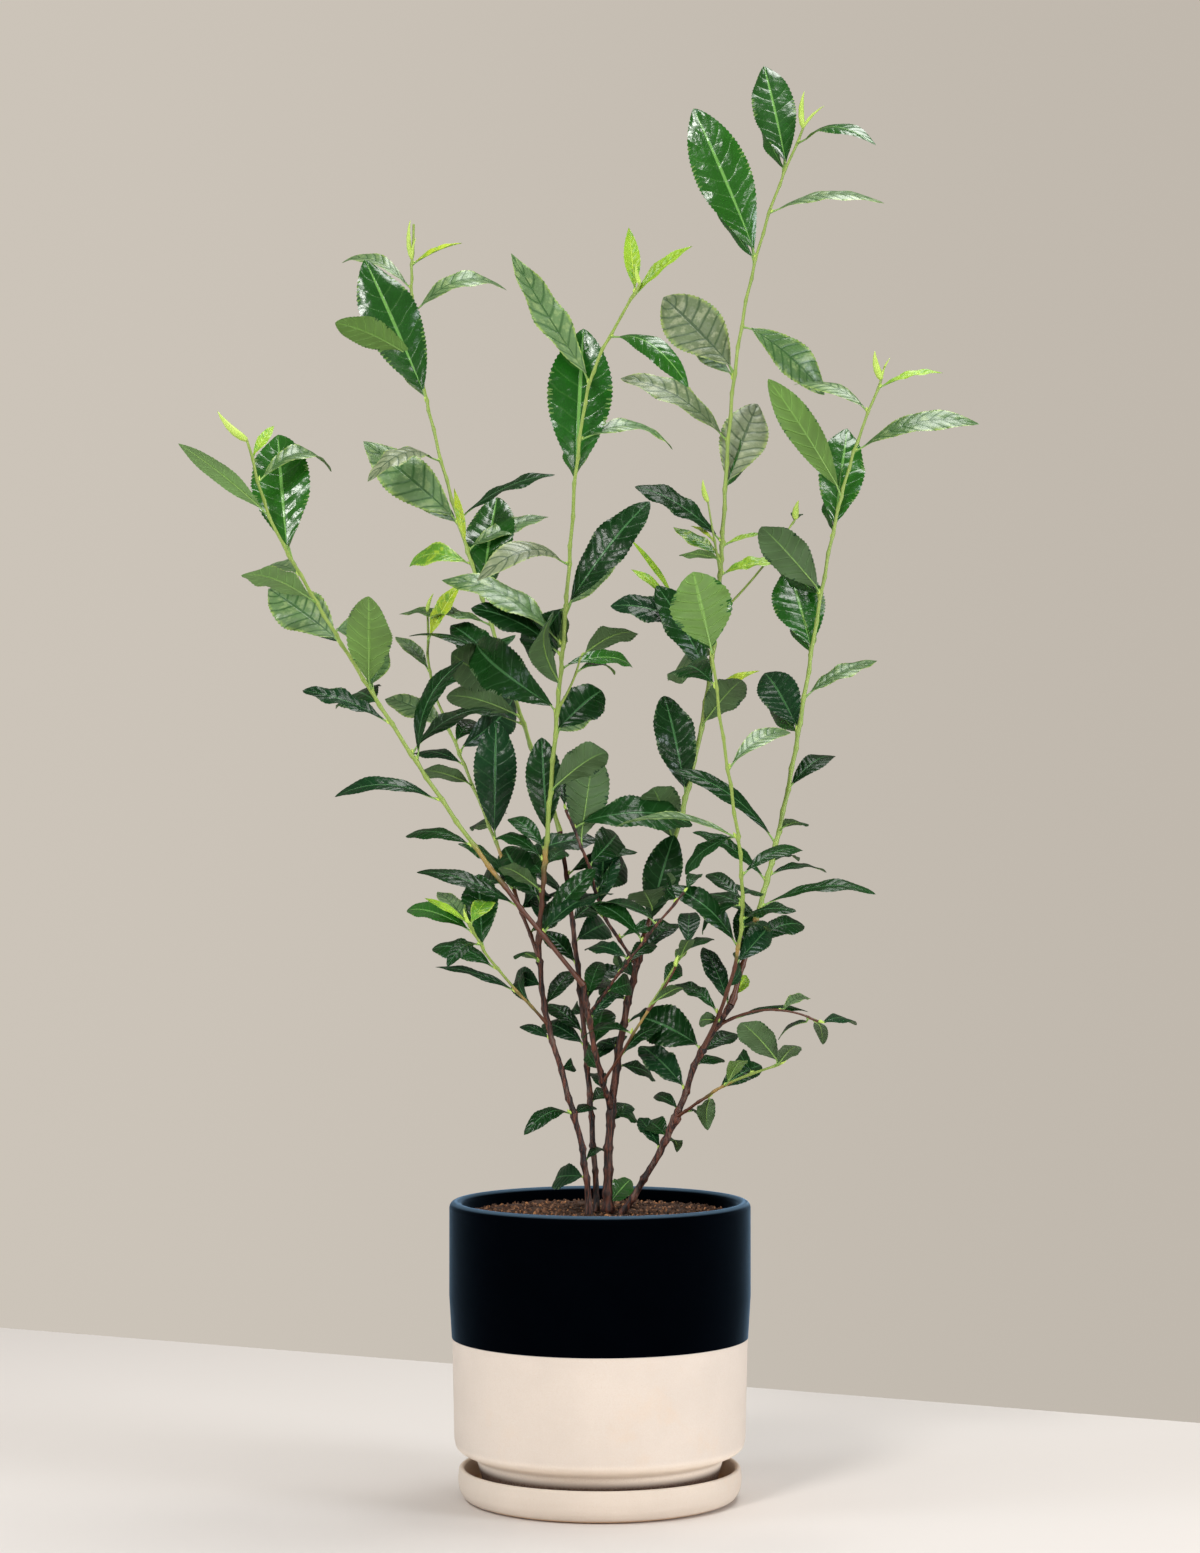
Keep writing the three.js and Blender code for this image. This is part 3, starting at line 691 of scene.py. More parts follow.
class Foliage:
    """Gathers leaves, buds and stalks into one mesh, with a map of each leaf and a baking map."""

    def __init__(self):
        self.points, self.faces, self.slots = [], [], []
        self.maps, self.cells, self.finishes = [], [], []
        self.count = 0
        self.cell_count = 0

    def slot_of(self, finish):
        if finish not in self.finishes:
            self.finishes.append(finish)
        return self.finishes.index(finish)

    def new_points(self, points):
        start = self.count
        self.points.append(points.reshape(-1, 3))
        self.count += len(self.points[-1])
        return np.arange(start, self.count).reshape(points.shape[:-1])

    def sheet(self, ids, finish, turned=False, wrap=False):
        """Faces over a grid of point numbers, mapped 0 to 1 along both sides in a cell of their own."""
        rows, columns = ids.shape
        slot, cell = self.slot_of(finish), self.cell_count
        self.cell_count += 1
        along = np.linspace(0, 1, rows)
        across = np.linspace(0, 1, columns) if wrap else (ACROSS[:columns] + 1) / 2
        for i in range(rows - 1):
            for k in range(columns - 1):
                corners = [(i, k), (i, k + 1), (i + 1, k + 1), (i + 1, k)]
                if turned:
                    corners.reverse()
                face = {}
                for r, c in corners:
                    face.setdefault(int(ids[r, c]), (across[c], along[r]))
                if len(face) > 2:
                    self.faces.append(list(face))
                    self.slots.append(slot)
                    self.maps.extend(face.values())
                    self.cells.extend([cell] * len(face))

    def tube(self, places, radii, finish, sides=5):
        """A tapering closed tube through some places, ending in points."""
        places = np.array(places)
        rings = []
        onward = np.gradient(places, axis=0)
        for place, radius, way in zip(places, radii, onward):
            way = unit(way)
            side = unit(np.cross(way, [0.31, 0.17, 0.93]))
            over = np.cross(side, way)
            turns = np.arange(sides) * math.tau / sides
            rings.append(place + radius * (np.outer(np.cos(turns), side) + np.outer(np.sin(turns), over)))
        ids = self.new_points(np.array(rings))
        foot = places[0] - 0.3 * radii[0] * unit(onward[0])
        tip = places[-1] + radii[-1] * unit(onward[-1])
        ends = self.new_points(np.array([foot, tip]))
        ids = np.vstack([np.full(sides, ends[0]), ids, np.full(sides, ends[1])])
        self.sheet(np.hstack([ids, ids[:, :1]]), finish, wrap=True, turned=True)

    def leaf(self, foot, stalk, tip, facing, width, shape, arch, fold, curl, twist, wave, finishes):
        """A toothed, quilted blade on its stalk. Facing is roughly the way that its upper side looks. Wave is
        how many ruffles the margin has, where they start, how deep they are and how cupped the blade is."""
        base = foot + stalk
        chord = tip - base
        length = np.linalg.norm(chord)
        normal = unit(facing - (facing @ unit(chord)) * unit(chord))
        teeth = max(5, round(length / TOOTH))
        t = np.linspace(0, 1, 2 * teeth + 1)
        centre = base + np.outer(t, chord) + np.outer(arch * length * 4 * t * (1 - t), normal)
        centre -= np.outer(curl * length * t**4, normal)
        onward = np.gradient(centre, axis=0)
        onward /= np.linalg.norm(onward, axis=1)[:, None]
        up = normal - (onward @ normal)[:, None] * onward
        up /= np.linalg.norm(up, axis=1)[:, None]
        side = np.cross(up, onward)
        turn = (twist * (t - UNTWISTED))[:, None]
        up, side = up * np.cos(turn) + side * np.sin(turn), side * np.cos(turn) - up * np.sin(turn)
        across, rise = self.blade(t, width, shape, fold, *wave)
        upper = centre[:, None] + across[..., None] * side[:, None] + rise[..., None] * up[:, None]
        thick = BLADE_THICKNESS * (1 - ACROSS**4) * np.ones_like(across)
        lower = upper - thick[..., None] * up[:, None]
        top = self.new_points(upper[:-1])
        point = self.new_points(upper[-1:, MIDDLE])
        top = np.vstack([top, np.full(len(ACROSS), point[0])])
        under = top.copy()
        under[1:-1, 1:-1] = self.new_points(lower[1:-1, 1:-1])
        self.sheet(top, finishes[0], turned=True)
        self.sheet(under, finishes[1])
        self.stalk(foot, base, centre, up, finishes[2])

    def blade(self, t, width, shape, fold, ruffles, start, depth, cup):
        """How far each place on a blade lies from its midrib, across it and above it."""
        u, t = ACROSS[None, :], t[:, None]
        out = np.abs(u)
        half = width / 2 * np.sin(math.pi * t ** shape[0]) ** shape[1]
        half[0] = MIDRIB[0]
        reach = np.repeat(half, len(ACROSS), axis=1)
        tooth = np.where(np.arange(len(t)) % 2 == 1, TOOTH_DEPTH, -NOTCH_DEPTH * TOOTH_DEPTH)
        reach[:, [0, -1]] *= (1 + tooth)[:, None]
        phase = t * VEINS - VEIN_SLANT * out**VEIN_BEND
        puff = 1 - 2 * np.abs(phase % 1 - 0.5)
        uneven = 0.55 + 0.45 * np.sin(5.1 * phase + 2.3 * start * (1 + 3 * (u > 0)))
        puff = puff * puff * (3 - 2 * puff) * uneven
        quilt = QUILT * min(1.0, width / QUILTED_WIDTH) * (puff - 0.3) * out * (1 - 0.45 * out)
        ruffle = np.sin(math.tau * (ruffles * t + start + 0.27 * (u > 0))) * out**3
        rise = reach * out * math.sin(fold) - reach * CUPPED * u**2 * cup + ruffle * depth * reach
        return reach * u * math.cos(fold), rise + quilt * np.sin(math.pi * t) ** 0.5

    def stalk(self, foot, base, centre, up, finish):
        """The leaf stalk, running on under the blade as its midrib."""
        picks = np.linspace(1, MIDRIB_END * (len(centre) - 1), 6).round().astype(int)
        radii = np.linspace(MIDRIB[0] * 0.8, MIDRIB[1], len(picks))
        rib = [centre[i] - up[i] * (BLADE_THICKNESS * 0.6 + radius * 0.55) for i, radius in zip(picks, radii)]
        neck = foot * 0.45 + base * 0.55 - up[0] * 0.2 * MM
        self.tube([foot, neck, *rib], [MIDRIB[0] * 1.25, MIDRIB[0], *radii], finish)

    def bud(self, foot, tip, radius, sides=6):
        """A pointed bud: a spindle, fullest in its lower half."""
        shares = np.array([0.0, 0.12, 0.32, 0.55, 0.8, 0.96])
        sizes = np.array([0.55, 0.9, 1.0, 0.82, 0.42, 0.1])
        axis = tip - foot
        bend = unit(np.cross(axis, [0.4, 0.9, 0.1])) * np.linalg.norm(axis) * 0.08
        places = foot + np.outer(shares, axis) + np.outer(4 * shares * (1 - shares), bend)
        self.tube(places, sizes * radius, "bud", sides)

    def piece(self, name, materials):
        mesh = bpy.data.meshes.new(name)
        mesh.from_pydata(np.vstack(self.points).tolist(), [], self.faces)
        for finish in self.finishes:
            mesh.materials.append(materials[finish])
        mesh.polygons.foreach_set("material_index", self.slots)
        places = np.array(self.maps)
        mesh.uv_layers.new(name="leaf").data.foreach_set("uv", places.ravel())
        columns = math.ceil(math.sqrt(self.cell_count * CELL_SHAPE))
        rows = math.ceil(self.cell_count / columns)
        cells = np.array(self.cells)
        corners = np.stack([cells % columns, cells // columns], 1)
        packed = (corners + CELL_MARGIN + (1 - 2 * CELL_MARGIN) * places) / [columns, rows]
        mesh.uv_layers.new(name="OFBake").data.foreach_set("uv", packed.ravel())
        mesh.shade_smooth()
        mesh.set_sharp_from_angle(angle=math.radians(75))
        mesh.validate()
        return link(name, mesh)


# ---------------- where the leaves grow

# The leaves that give each limb its outline: the share of the limb where each springs, how far its tip lies
# across and up from there, its width, which way it faces (90 shows its upper side to the front, -90 its
# underside, 0 lies level), how much it arches, as a share of its length, and its kind, which is deep where
# none is given. Millimetres and degrees.
LEADING_LEAVES = {
    "branch_left": [
        (0.965, 11, 22, 7, 55, 0.05, "lime"), (0.925, 39, 10, 18, 35, 0.34, "mottled"),
        (0.86, -50, 41, 15, -35, 0.04, "mottled"), (0.79, -10, 75, 36, 80, 0.05, "glossy"),
        (0.755, -27, 7, 20, 40, 0.10, "mottled"), (0.705, -40, 15, 20, -42, 0.12, "mottled"),
        (0.63, -46, 35, 30, 66, 0.06, "mottled"), (0.545, 2, 52, 27, -76, 0.03, "glossy"),
        (0.485, -53, 20, 17, 28, 0.08), (0.415, 28, 60, 20, 18, 0.22), (0.345, -63, 2, 18, 30, 0.20),
        (0.26, -42, 6, 14, 28, 0.16), (0.145, -60, 26, 17, 32, 0.06),
    ],
    "shoot_back": [
        (0.93, 32, 15, 8, 35, 0.06, "lime"), (0.89, -47, 22, 14, 32, 0.22, "mottled"),
        (0.85, 59, 18, 21, 36, 0.30, "mottled"), (0.76, -50, 20, 21, -52, 0.10, "glossy"),
        (0.70, -39, 90, 37, 76, 0.05, "glossy"), (0.60, -43, -18, 20, 42, 0.26, "grey"),
        (0.495, -60, 52, 31, 66, 0.06, "mottled"), (0.50, 59, 32, 18, 22, 0.08),
        (0.455, -8, 38, 6, 45, 0.04, "lime"), (0.43, -40, 0, 19, 48, 0.28, "fresh"),
        (0.45, 50, 27, 18, 40, 0.05, "mottled"), (0.375, 8, 68, 33, 75, 0.05, "glossy"),
        (0.33, -59, 9, 18, 24, 0.08, "mottled"), (0.26, -60, 20, 17, 24, 0.18),
        (0.245, -37, 37, 21, 62, 0.08), (0.18, -46, 16, 21, -54, 0.08), (0.17, -53, 6, 15, 20, 0.14),
        (0.03, -16, 26, 10, 40, 0.05),
    ],
    "shoot_centre": [
        (0.985, -3, 38, 10, 62, 0.05, "lime"), (0.98, 34, 30, 10, 42, 0.06, "lime"),
        (0.925, 44, -33, 16, 52, 0.30, "glossy"), (0.855, -44, 76, 24, 38, -0.04, "mottled"),
        (0.71, 5, 90, 38, 80, 0.05, "glossy"), (0.775, 54, -2, 18, 35, 0.26, "mottled"),
        (0.59, -52, -13, 21, 50, 0.32, "grey"), (0.52, 47, 66, 25, 60, 0.05),
        (0.525, -21, -30, 26, 68, 0.08), (0.45, -53, 29, 20, 40, 0.14),
        (0.43, 44, 6, 13, 58, 0.12, "glossy"), (0.33, 28, 29, 25, 64, 0.06), (0.24, 34, 27, 22, -55, 0.06),
        (0.165, -3, 61, 22, 70, 0.06), (0.145, -23, 24, 13, 50, 0.10), (0.13, -31, 19, 12, 38, 0.12),
        (0.12, 14, 13, 11, 55, 0.08), (0.08, -26, 20, 12, -52, 0.06), (0.03, -2, 19, 10, 60, 0.06),
        (0.01, 33, 42, 16, 48, 0.06),
    ],
    "branch_centre_up": [
        (1.0, -4, 30, 12, 60, 0.04), (0.765, 7, 56, 27, -76, 0.04), (0.37, 2, 41, 21, 62, 0.06),
    ],
    "shoot_left_inner": [
        (0.91, 20, 37, 13, 42, 0.06, "lime"), (0.82, -24, 26, 12, 28, 0.06, "mottled"),
        (0.645, -43, 24, 19, 40, 0.08, "mottled"), (0.61, 12, 20, 13, 64, 0.08),
        (0.55, -34, 10, 14, 36, 0.10), (0.49, -29, 10, 14, -52, 0.06), (0.33, 0, 74, 26, 68, 0.05),
    ],
    "twig_left_low": [
        (1.0, -26, 15, 6, 45, 0.04, "lime"), (0.97, 12, 16, 13, 52, 0.16, "fresh"),
        (0.95, -22, 21, 13, 42, 0.06, "mottled"), (0.9, -43, 15, 16, 42, 0.08, "glossy"),
        (0.74, -4, 47, 22, 62, 0.06), (0.8, -18, -12, 10, 40, 0.22), (0.33, -49, 16, 13, 26, 0.08),
    ],
    "shoot_tall": [
        (0.98, 46, -12, 16, 50, 0.22, "glossy"), (0.945, -12, 75, 27, 80, 0.05, "glossy"),
        (0.89, 73, 6, 20, 28, 0.17, "mottled"), (0.83, -39, 96, 35, 77, 0.05, "glossy"),
        (0.745, 54, -40, 27, 56, 0.10, "mottled"), (0.685, -44, 53, 37, 66, 0.05, "grey"),
        (0.60, -67, 41, 23, 44, 0.18, "grey"), (0.54, 22, 59, 30, 66, 0.05, "grey"),
        (0.475, -52, 38, 21, 36, 0.08), (0.455, -29, 22, 12, 44, 0.06, "fresh"),
        (0.47, 27, 10, 5, 40, 0.04, "lime"), (0.435, 39, 7, 14, 42, 0.12, "lime"),
        (0.45, -27, 1, 11, -45, 0.06, "mottled"), (0.35, -61, 30, 23, 40, 0.08),
        (0.305, -31, 60, 25, 52, 0.06), (0.28, 33, 20, 10, 40, 0.12, "lime"), (0.25, 24, 30, 23, -58, 0.06),
        (0.165, -12, 63, 26, 64, 0.06), (0.11, -13, 38, 25, -64, 0.05), (0.01, 16, 57, 23, 62, 0.06),
        (0.03, -6, 14, 24, -66, 0.06),
    ],
    "shoot_right": [
        (0.985, 40, 11, 9, 32, 0.08, "lime"), (0.945, -44, 22, 15, 36, 0.18, "mottled"),
        (0.88, 77, 17, 20, 36, 0.18, "mottled"), (0.805, -45, 71, 22, -42, 0.04, "glossy"),
        (0.745, 12, 71, 29, 68, 0.05, "glossy"), (0.645, -37, 43, 26, -68, 0.05),
        (0.55, -11, 57, 32, 70, 0.05, "glossy"), (0.48, 47, 25, 16, 24, 0.08, "mottled"),
        (0.425, -19, 41, 25, 62, 0.05), (0.335, 30, 21, 15, 42, 0.20), (0.27, 14, 4, 12, -50, 0.10),
        (0.25, -60, 47, 13, 40, 0.14), (0.22, 19, 3, 8, 35, 0.10), (0.20, 37, 3, 12, 24, 0.12),
        (0.19, -42, 33, 14, 28, 0.08), (0.15, 68, 16, 14, 22, 0.08), (0.09, 35, 11, 15, 46, 0.24),
        (0.06, 2, 38, 14, 70, 0.05), (0.01, 9, 13, 10, 75, 0.04, "lime"),
    ],
    "shoot_right_inner": [
        (1.0, -11, 46, 35, -80, 0.04, "glossy"), (0.72, 38, 24, 14, 28, 0.14, "mottled"),
        (0.55, -71, 9, 16, 20, 0.14, "mottled"), (0.555, -30, -22, 13, 50, 0.14),
        (0.455, 37, 19, 13, 30, 0.10), (0.40, 8, 4, 18, 60, 0.06), (0.385, -20, 19, 12, 40, 0.08),
        (0.38, -26, -15, 14, 50, 0.14), (0.32, 19, -2, 9, 40, 0.10),
    ],
    "twig_centre": [
        (1.0, 10, 12, 9, 45, 0.08), (0.6, -30, 22, 13, 40, 0.18), (0.45, -25, 6, 14, 50, 0.16),
        (0.42, 18, 12, 12, 40, 0.10),
    ],
    "twig_low_centre": [
        (1.0, 3, 24, 14, 60, 0.06), (0.97, 19, 8, 9, 42, 0.08), (0.92, 6, 15, 9, -50, 0.06),
        (0.59, 22, 15, 10, -50, 0.06),
    ],
    "twig_right_low": [
        (0.98, -23, 28, 19, -58, 0.06), (0.96, 12, 16, 12, -50, 0.06),
        (0.6, 10, 18, 10, -40, 0.12, "glossy"), (0.5, 29, 15, 15, 52, 0.06), (0.4, 0, -19, 12, 50, 0.10),
        (0.12, 12, -7, 9, 40, 0.10),
    ],
    "stem_front": [
        (0.9, 18, 7, 12, 58, 0.10, "glossy"), (0.84, 9, 28, 12, 20, 0.10), (0.5, 6, 26, 18, 64, 0.06),
        (0.12, -8, 13, 10, 40, 0.10),
    ],
    "stem_left": [
        (0.93, -15, 8, 9, -50, 0.08), (0.76, 17, 23, 12, 50, 0.06), (0.375, -29, -11, 11, 42, 0.30),
        (0.36, 12, 4, 10, 55, 0.10), (0.130, -23, -2, 18, 66, 0.06), (0.19, 14, 6, 8, 40, 0.14),
    ],
    "stem_back": [
        (0.43, -28, 15, 14, 50, 0.10), (0.46, -24, 20, 12, 55, 0.08), (0.28, 14, 4, 12, 50, 0.14),
    ],
    "stem_centre": [
        (0.53, 25, -9, 13, 58, 0.10), (0.32, 13, 10, 12, 55, 0.12), (0.35, 16, -6, 14, 60, 0.16),
        (0.015, 14, 13, 15, 70, 0.05, "glossy"),
    ],
    "stem_right": [
        (0.98, -14, 39, 13, 50, 0.06), (0.78, -37, 21, 27, 60, 0.08), (0.76, 24, 13, 13, 40, 0.06),
        (0.585, -27, 29, 19, 58, 0.06), (0.49, -14, 8, 9, 50, 0.08), (0.36, -12, 9, 15, 60, 0.08),
        (0.34, 10, -5, 8, 50, 0.12), (0.30, -12, 18, 11, 50, 0.06),
    ],
    "side_bud_left": [
        (0.5, -14, 12, 5, 40, 0.05, "lime"),
    ],
    "side_spray_left": [
        (1.0, -24, 20, 7, 42, 0.06, "lime"), (0.8, -30, 40, 6, 30, 0.04, "lime"),
    ],
    "side_spray_right": [
        (0.96, 6, 9, 8, 45, 0.08), (0.6, 16, 12, 10, 40, 0.06, "mottled"),
    ],
    "side_spray_centre": [
        (1.0, 32, 14, 20, -42, 0.12), (0.75, 24, 4, 9, 50, 0.10, "glossy"),
    ],
    "side_spray_low": [
        (1.0, 6, 10, 7, 40, 0.05, "mottled"),
    ],
    "side_spray_right_low": [
        (1.0, 24, -4, 12, 40, 0.16), (0.95, 8, -17, 9, 30, 0.16), (0.9, -16, -15, 9, 40, 0.10),
        (0.6, 22, 5, 9, 30, 0.12, "mottled"), (0.15, 46, 3, 9, 24, 0.16),
    ],
}

# A bud ends each growing tip: how far it reaches across, up and back, and its radius, in millimetres.
TIP_BUDS = {
    "branch_left": [(-17, 17, -2, 2.4)],
    "shoot_back": [(-1, 26, 0, 1.7), (3, 14, -3, 0.9)],
    "shoot_centre": [(-2, 12, 0, 1.4)],
    "shoot_tall": [(1, 24, 0, 2.0), (14, 14, -2, 1.0)],
    "shoot_right": [(-4, 18, 0, 2.4), (6, 14, 2, 0.9)],
    "shoot_left_inner": [(4, 12, 4, 1.3)],
    "twig_left_low": [(-3, 9, 0, 1.2)],
    "twig_right_low": [(6, 5, 0, 1.5)],
    "side_bud_left": [(-3, 14, 0, 1.8)],
    "side_spray_right": [(2, 12, 0, 2.2)],
    "side_spray_low": [(2, 7, 0, 1.3)],
}
BUD_FOOT = {"shoot_back": 0.94}  # the share of the limb where its buds spring, if that isn't its end

FULL_LENGTH = {"glossy": 88, "mottled": 72, "grey": 80, "deep": 60, "lime": 34, "fresh": 50}  # millimetres
LOWEST_LENGTH = 0.62  # the share of it that a leaf at the soil grows to
FULL_GROWN = 0.5  # and the height from which it grows to all of it
DEPTH_SHARE = 0.72  # how much of a leaf's unseen length runs to the front or back
NEAREST, FURTHEST = -0.148, 0.146  # leaf tips stay between these places front and back
STALK_SHARE = 0.09  # a stalk's length to its leaf's
STALK_LENGTHS = (1.8 * MM, 6.5 * MM)  # the shortest and the longest
ARCHING = 0.72  # the share of the chart's arch that the blade takes
SPRING_BUD = (2.2, 4.2)  # millimetres, the bud where a leaf springs

LEAF_SPACING = 15.5 * MM  # between the rule's leaves up a limb
GOLDEN_TURN = 137.5  # degrees from one of them to the next round the limb
CLEAR_OF_LEADING = 0.36  # of the spacing, between one of them and a leading leaf
FILL_LENGTHS = (26, 82)  # millimetres, low on the bush and where the shoots begin to show
BARE_BELOW, BARE_ABOVE = 0.25, 0.53  # they keep between these heights
FILL_RISE = 0.2  # and reach their full length this far above the lower one
NARROW_SIDES = 0.8  # they keep this much of their reach across, and all of it to front and back
TO_THE_BACK = 0.85  # of those that would stand before the leading ones grow backwards instead
SIDE_FACING = 1.2  # one reaching this many times further to front or back than across faces sideways
SIDE_TIP = 25  # degrees that it is tipped up more steeply
CLEARINGS = [  # where they leave the crown open: from and to across, from and to up
    (0.006, 0.042, 0.404, 0.490), (-0.052, -0.014, 0.398, 0.462), (-0.175, -0.100, 0.525, 0.600),
    (-0.300, -0.150, 0.470, 0.700), (-0.135, -0.096, 0.462, 0.520), (-0.085, -0.062, 0.405, 0.445),
    (0.074, 0.300, 0.390, 0.700),
]

# A leading leaf this wide in millimetres, tipped up by this many degrees and springing above this height
# has two narrower ones growing away behind it.
BROAD, SQUARE_ON, HIGH_UP = 23, 60, 0.45
NODE_GAP = 0.004  # of the limb, from each leaf down to the next behind it
BEHIND_SHARES = (0.66, 0.72)  # how far they reach across and up, as shares of the broad one's reach


def leaf_depth(across, rise, face, arch, kind, height):
    """How far a leaf reaches back, or forward where it droops or shows its underside, for the full length of
    its kind to come out right."""
    grown = min(1.0, height / FULL_GROWN)
    full = FULL_LENGTH[kind] * (LOWEST_LENGTH + (1 - LOWEST_LENGTH) * grown)
    spare = full * full - across * across - rise * rise
    drooping = arch > 0.2 and rise < -10
    return DEPTH_SHARE * math.sqrt(max(spare, 0.0)) * (-1 if face < 0 or drooping else 1)


def within_depth(spring, depth):
    """A reach to the back or front, cut short where it would pass the nearest or furthest place."""
    return min(max(spring + depth, NEAREST), FURTHEST) - spring


def place_leaf(foliage, limb, share, reach, width, face, arch, kind, rng, outlook=FRONT):
    """Grows one leaf from a limb. Reach is across, back and up, in metres, and face, in degrees, tips its
    upper side from straight up towards its outlook."""
    foot, heading, radius = limb.at(share), limb.heading(share), limb.radius(share)
    outward = unit(reach)
    shortest, longest = STALK_LENGTHS
    stalk_length = min(max(STALK_SHARE * np.linalg.norm(reach), shortest), longest)
    stalk = stalk_length * unit(outward + 0.55 * heading)
    tipped = math.radians(face)
    facing = UP * math.cos(tipped) + outlook * math.sin(tipped)
    fold = math.radians(rng.uniform(6, 20) if kind != "lime" else rng.uniform(22, 38))
    ruffle = rng.uniform(0.06, 0.18) if kind == "deep" else rng.uniform(0.05, 0.16)
    wave = (rng.uniform(1.4, 3.2), rng.random(), ruffle, rng.uniform(0.3, 1.0))
    shade = rng.randrange(len(LEAF_KINDS[kind]["shades"]))
    finishes = (f"{kind}_upper_{shade}", f"{kind}_under", "leaf_stalk")
    curl = rng.uniform(0.0, 0.16 if kind == "deep" else 0.05) if arch < 0.15 else 0.0
    twist = math.radians(rng.uniform(-26, 26))
    foliage.leaf(foot + 0.6 * radius * outward, stalk, foot + reach, facing, width, LEAF_KINDS[kind]["shape"],
                 arch * ARCHING, fold, curl, twist, wave, finishes)
    nub = foot + radius * outward
    size = rng.uniform(*SPRING_BUD) * MM
    foliage.bud(nub, nub + size * unit(heading + 0.5 * outward), size * 0.27)


def grow_leaves(limbs, name, foliage, young, rng):
    """All the leaves of one limb: the leading ones, then the rule's."""
    limb = limbs[name]
    leading = LEADING_LEAVES.get(name, [])
    for share, across, rise, width, face, arch, *kind in leading:
        kind = kind[0] if kind else "deep"
        spring = limb.at(share)
        depth = leaf_depth(across, rise, face, arch, kind, spring[2])
        reach = np.array([across, depth, rise]) * MM
        reach[1] = within_depth(spring[1], reach[1])
        target = young if kind in YOUNG_KINDS else foliage
        place_leaf(target, limb, share, reach, width * MM, face, arch, kind, rng)
        limb.nodes.append(share)
        if width >= BROAD and abs(face) >= SQUARE_ON and spring[2] > HIGH_UP:
            grow_leaves_behind(limb, share, reach, foliage, rng)
    if not name.startswith("side_"):
        for share, turn in filling_leaves(limb, [row[0] for row in leading], rng):
            grow_filling_leaf(limb, share, turn, foliage, rng)
            limb.nodes.append(share)


def grow_leaves_behind(limb, share, reach, foliage, rng):
    """The next leaves down a shoot from a broad one, growing away behind it, one facing to each side."""
    over, up = BEHIND_SHARES
    for outlook in (SIDEWAYS, -SIDEWAYS):
        share -= NODE_GAP
        depth = min(rng.uniform(34, 60) * MM, FURTHEST - limb.at(share)[1])
        across, rise = over * reach[0] + 2 * MM * outlook[0], up * reach[2] + rng.uniform(0, 6) * MM
        way = np.array([across, depth, rise])
        kind = "glossy" if rng.random() < 0.6 else "mottled"
        width, face = rng.uniform(15, 20) * MM, rng.uniform(50, 75)
        place_leaf(foliage, limb, share, way, width, face, 0.08, kind, rng, outlook)


def filling_leaves(limb, taken, rng):
    """The rule for leaves between the leading ones: each turns on from the last, up the limb."""
    turn = rng.uniform(0, 360)
    step = LEAF_SPACING / limb.length
    share = 0.06 + step * rng.random()
    while share < 0.95:
        turn += GOLDEN_TURN + rng.uniform(-12, 12)
        if all(abs(share - other) > CLEAR_OF_LEADING * step for other in taken):
            yield share, turn
        share += step * rng.uniform(0.8, 1.2)


def grow_filling_leaf(limb, share, turn, foliage, rng):
    """One of the rule's leaves, unless it would grow too low, too high or across a clearing."""
    place = limb.at(share)
    if not BARE_BELOW < place[2] < BARE_ABOVE:
        return
    shortest, longest = FILL_LENGTHS
    grown = min(1.0, (place[2] - BARE_BELOW) / FILL_RISE)
    length = (shortest + (longest - shortest) * grown) * rng.uniform(0.75, 1.15) * MM
    angle = math.radians(turn)
    way = unit(np.array([NARROW_SIDES * math.cos(angle), math.sin(angle), rng.uniform(0.0, 0.7)])) * length
    if way[1] < 0 and rng.random() < TO_THE_BACK:
        way[1] = -way[1]
    way[1] = within_depth(place[1], way[1])
    for part in (0.35, 0.6, 0.8, 1.0):
        x, _, z = place + part * way
        if any(left < x < right and below < z < above for left, right, below, above in CLEARINGS):
            return
    kind = "mottled" if place[2] > 0.50 and rng.random() < 0.3 else "deep"
    width, face, arch = length * rng.uniform(0.32, 0.40), rng.uniform(4, 50), rng.uniform(0.08, 0.24)
    outlook = FRONT
    if abs(way[1]) > SIDE_FACING * abs(way[0]):
        outlook, face = math.copysign(1.0, way[0]) * SIDEWAYS, face + SIDE_TIP
    place_leaf(foliage, limb, share, way, width, face, arch, kind, rng, outlook)


def grow_buds(limbs, buds):
    for name, rows in TIP_BUDS.items():
        foot = limbs[name].at(BUD_FOOT.get(name, 1.0))
        for across, rise, back, radius in rows:
            buds.bud(foot, foot + np.array([across, back, rise]) * MM, radius * MM, sides=8)


# ---------------- pot, saucer and soil

TURN_STEPS = 144
ON_AXIS = 1e-6  # a place nearer than this to the axis lies on it


def turned(outline, wobble=0.0):
    """The rings of an outline of radii and heights turned about the axis, with a faint unevenness."""
    rings = []
    for radius, height in outline:
        ring = []
        for k in range(TURN_STEPS):
            x, y = math.cos(k * math.tau / TURN_STEPS), math.sin(k * math.tau / TURN_STEPS)
            out = radius + wobble * noise.noise(Vector((x, y, height * 12)))
            ring.append((out * x, out * y, height))
        rings.append(ring if radius > ON_AXIS else [(0, 0, height)])
    return rings


